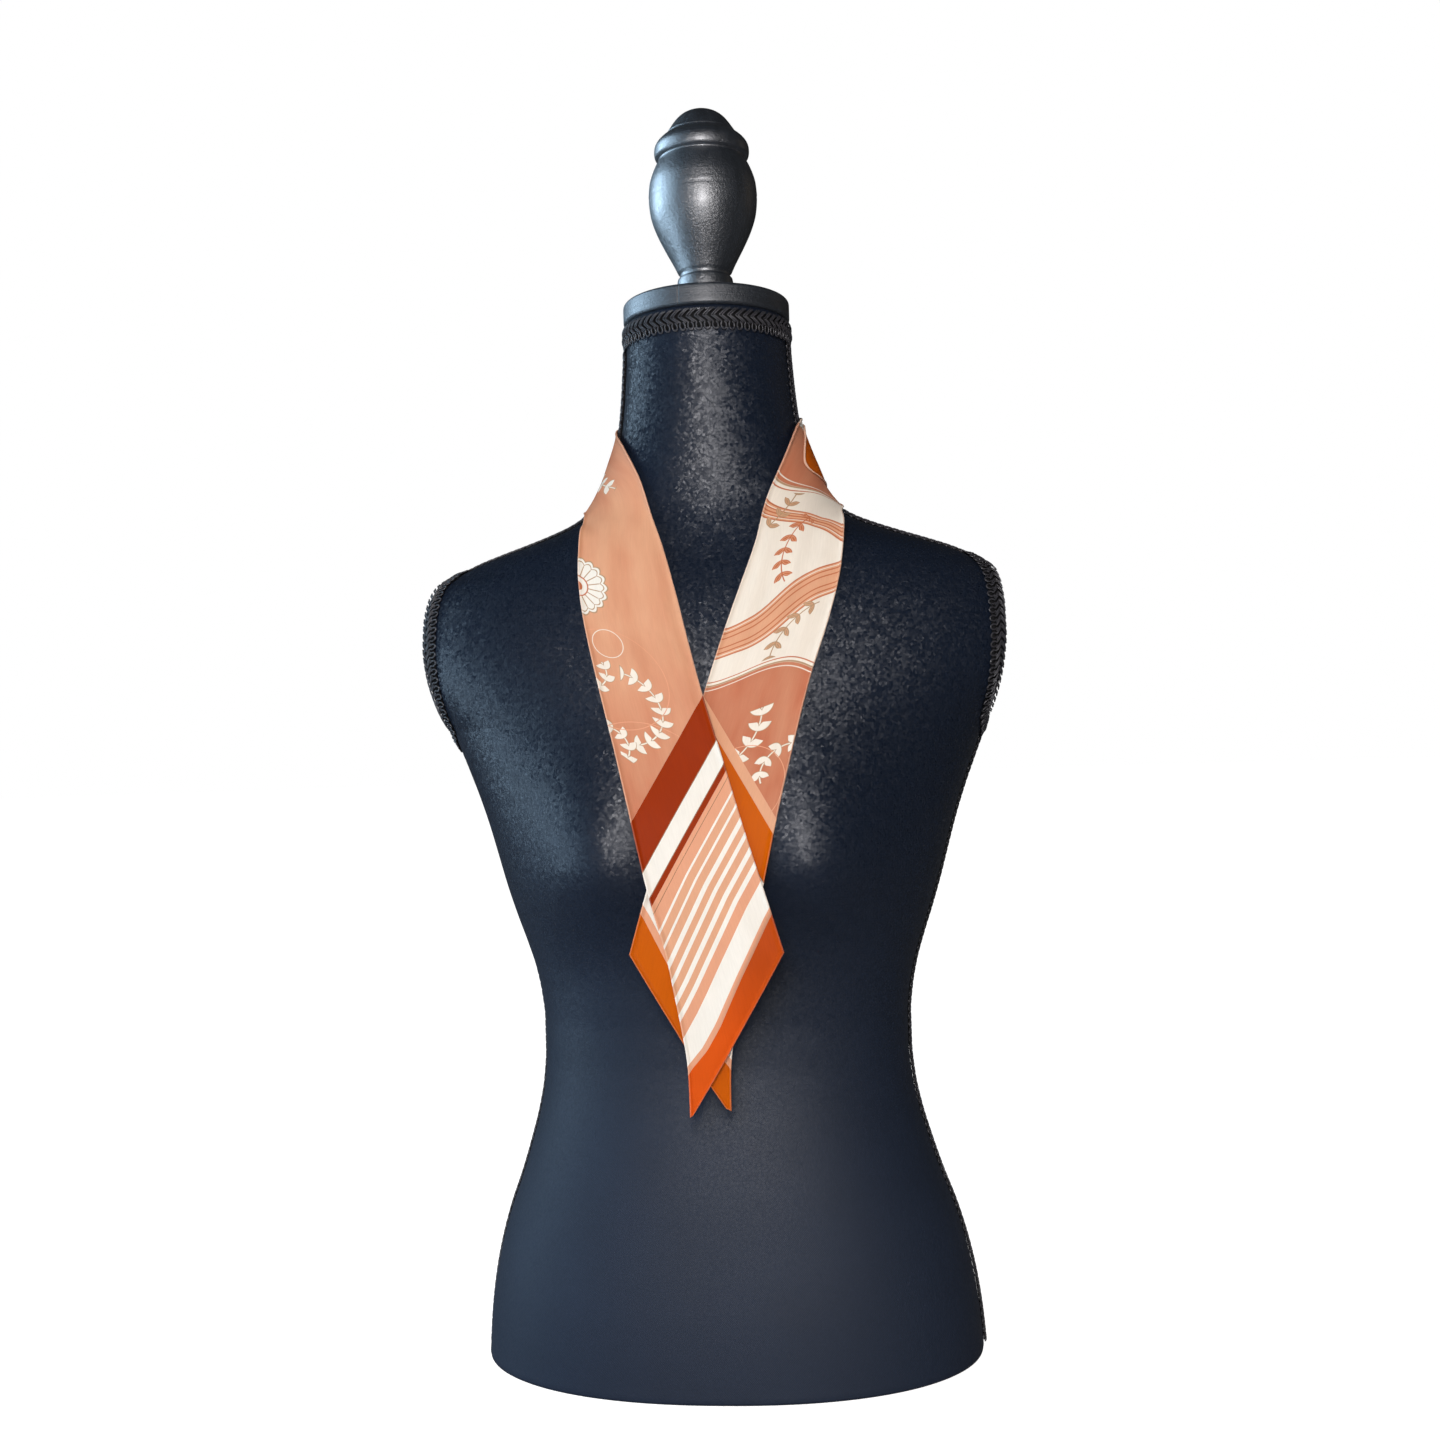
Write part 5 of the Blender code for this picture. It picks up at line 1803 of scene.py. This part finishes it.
class StageSettings(bpy.types.PropertyGroup):
    """Lights and floor of the studio."""

    floor: colour_property("Floor", "Colour of the floor", (0.93, 0.93, 0.93, 1.0))
    soft_light: number_property(
        FloatProperty, "Soft light", "Strength of the even surround", 0.31, 0.0, 4.0
    )
    gloss_light: number_property(
        FloatProperty, "Gloss light", "Strength of the surround in reflections", 0.02, 0.0, 4.0
    )
    key_power: number_property(
        FloatProperty, "Front light", "Power of the front light", 17.0, 0.0, 200.0, unit="POWER"
    )
    window_power: number_property(
        FloatProperty, "Window light", "Power of the side light", 14.0, 0.0, 400.0, unit="POWER"
    )


class HAIRSCARF_OT_cover(bpy.types.Operator):
    """Make the jersey cover of the form."""

    bl_idname = "hair_scarf.add_cover"
    bl_label = "Jersey cover"

    def execute(self, context):
        build_cover(context.scene.dress_form)
        return {"FINISHED"}


class HAIRSCARF_OT_wood(bpy.types.Operator):
    """Turn the painted cap and finial."""

    bl_idname = "hair_scarf.add_wood"
    bl_label = "Cap and finial"

    def execute(self, context):
        build_cap(context.scene.dress_form)
        build_finial(context.scene.dress_form)
        return {"FINISHED"}


class HAIRSCARF_OT_braid(bpy.types.Operator):
    """Lay the gimp braid on the neck, armholes and seams."""

    bl_idname = "hair_scarf.add_braid"
    bl_label = "Gimp braid"

    def execute(self, context):
        settings = context.scene.form_braid
        kit = (*braid_tree(gimp_material(settings.colour)), shaded_ground_material())
        build_neck_braid(settings, kit)
        for side, hand in ((1, "left"), (-1, "right")):
            for place, seam in (
                ("shoulder", SHOULDER_BRAID), ("armhole", None), ("side", SIDE_BRAID)
            ):
                names = "gimp_{}_{}".format(place, hand), "{}_braid_{}".format(place, hand)
                if seam:
                    build_seam_braid(*names, side, seam, settings, kit)
                else:
                    build_armhole_braid(*names, side, settings, kit)
        return {"FINISHED"}


class HAIRSCARF_OT_scarf(bpy.types.Operator):
    """Drape the printed silk scarf."""

    bl_idname = "hair_scarf.add_scarf"
    bl_label = "Silk scarf"

    def execute(self, context):
        build_scarf(context.scene.silk_scarf)
        return {"FINISHED"}


class HAIRSCARF_OT_stage(bpy.types.Operator):
    """Set the floor, the lights and the camera."""

    bl_idname = "hair_scarf.add_stage"
    bl_label = "Studio"

    def execute(self, context):
        settings = context.scene.form_stage
        build_floor(settings.floor)
        build_world(settings)
        build_lights(settings)
        build_camera()
        context.scene.view_settings.view_transform = "Standard"
        return {"FINISHED"}


class HAIRSCARF_PT_sidebar(bpy.types.Panel):
    """The pieces of the dress form and scarf."""

    bl_idname = "HAIRSCARF_PT_sidebar"
    bl_label = "Dress form and scarf"
    bl_space_type = "VIEW_3D"
    bl_region_type = "UI"
    bl_category = "Dress form"

    def draw(self, context):
        for group, names, operator in PANEL_ROWS:
            box = self.layout.box()
            for name in names.split():
                box.prop(getattr(context.scene, group), name)
            box.operator("hair_scarf." + operator)


PANEL_ROWS = (
    ("dress_form", "cover_rings jersey", "add_cover"),
    ("dress_form", "paint", "add_wood"),
    ("form_braid", "neck_pitch arm_pitch seam_pitch cord_radius colour", "add_braid"),
    ("silk_scarf", "silk_wall scarf_rows scarf_columns turned_rows", "add_scarf"),
    ("form_stage", "floor soft_light gloss_light key_power window_power", "add_stage"),
)
GROUPS = {
    "dress_form": DressFormSettings,
    "form_braid": BraidSettings,
    "silk_scarf": ScarfSettings,
    "form_stage": StageSettings,
}
CLASSES = (
    *GROUPS.values(), HAIRSCARF_OT_cover, HAIRSCARF_OT_wood, HAIRSCARF_OT_braid,
    HAIRSCARF_OT_scarf, HAIRSCARF_OT_stage, HAIRSCARF_PT_sidebar,
)


def register():
    for item in CLASSES:
        bpy.utils.register_class(item)
    for name, group in GROUPS.items():
        setattr(bpy.types.Scene, name, PointerProperty(type=group))


def unregister():
    for name in GROUPS:
        delattr(bpy.types.Scene, name)
    for item in reversed(CLASSES):
        bpy.utils.unregister_class(item)


def main():
    register()
    bpy.ops.hair_scarf.add_cover()
    bpy.ops.hair_scarf.add_wood()
    bpy.ops.hair_scarf.add_braid()
    bpy.ops.hair_scarf.add_scarf()
    bpy.ops.hair_scarf.add_stage()


if __name__ == "__main__":
    main()
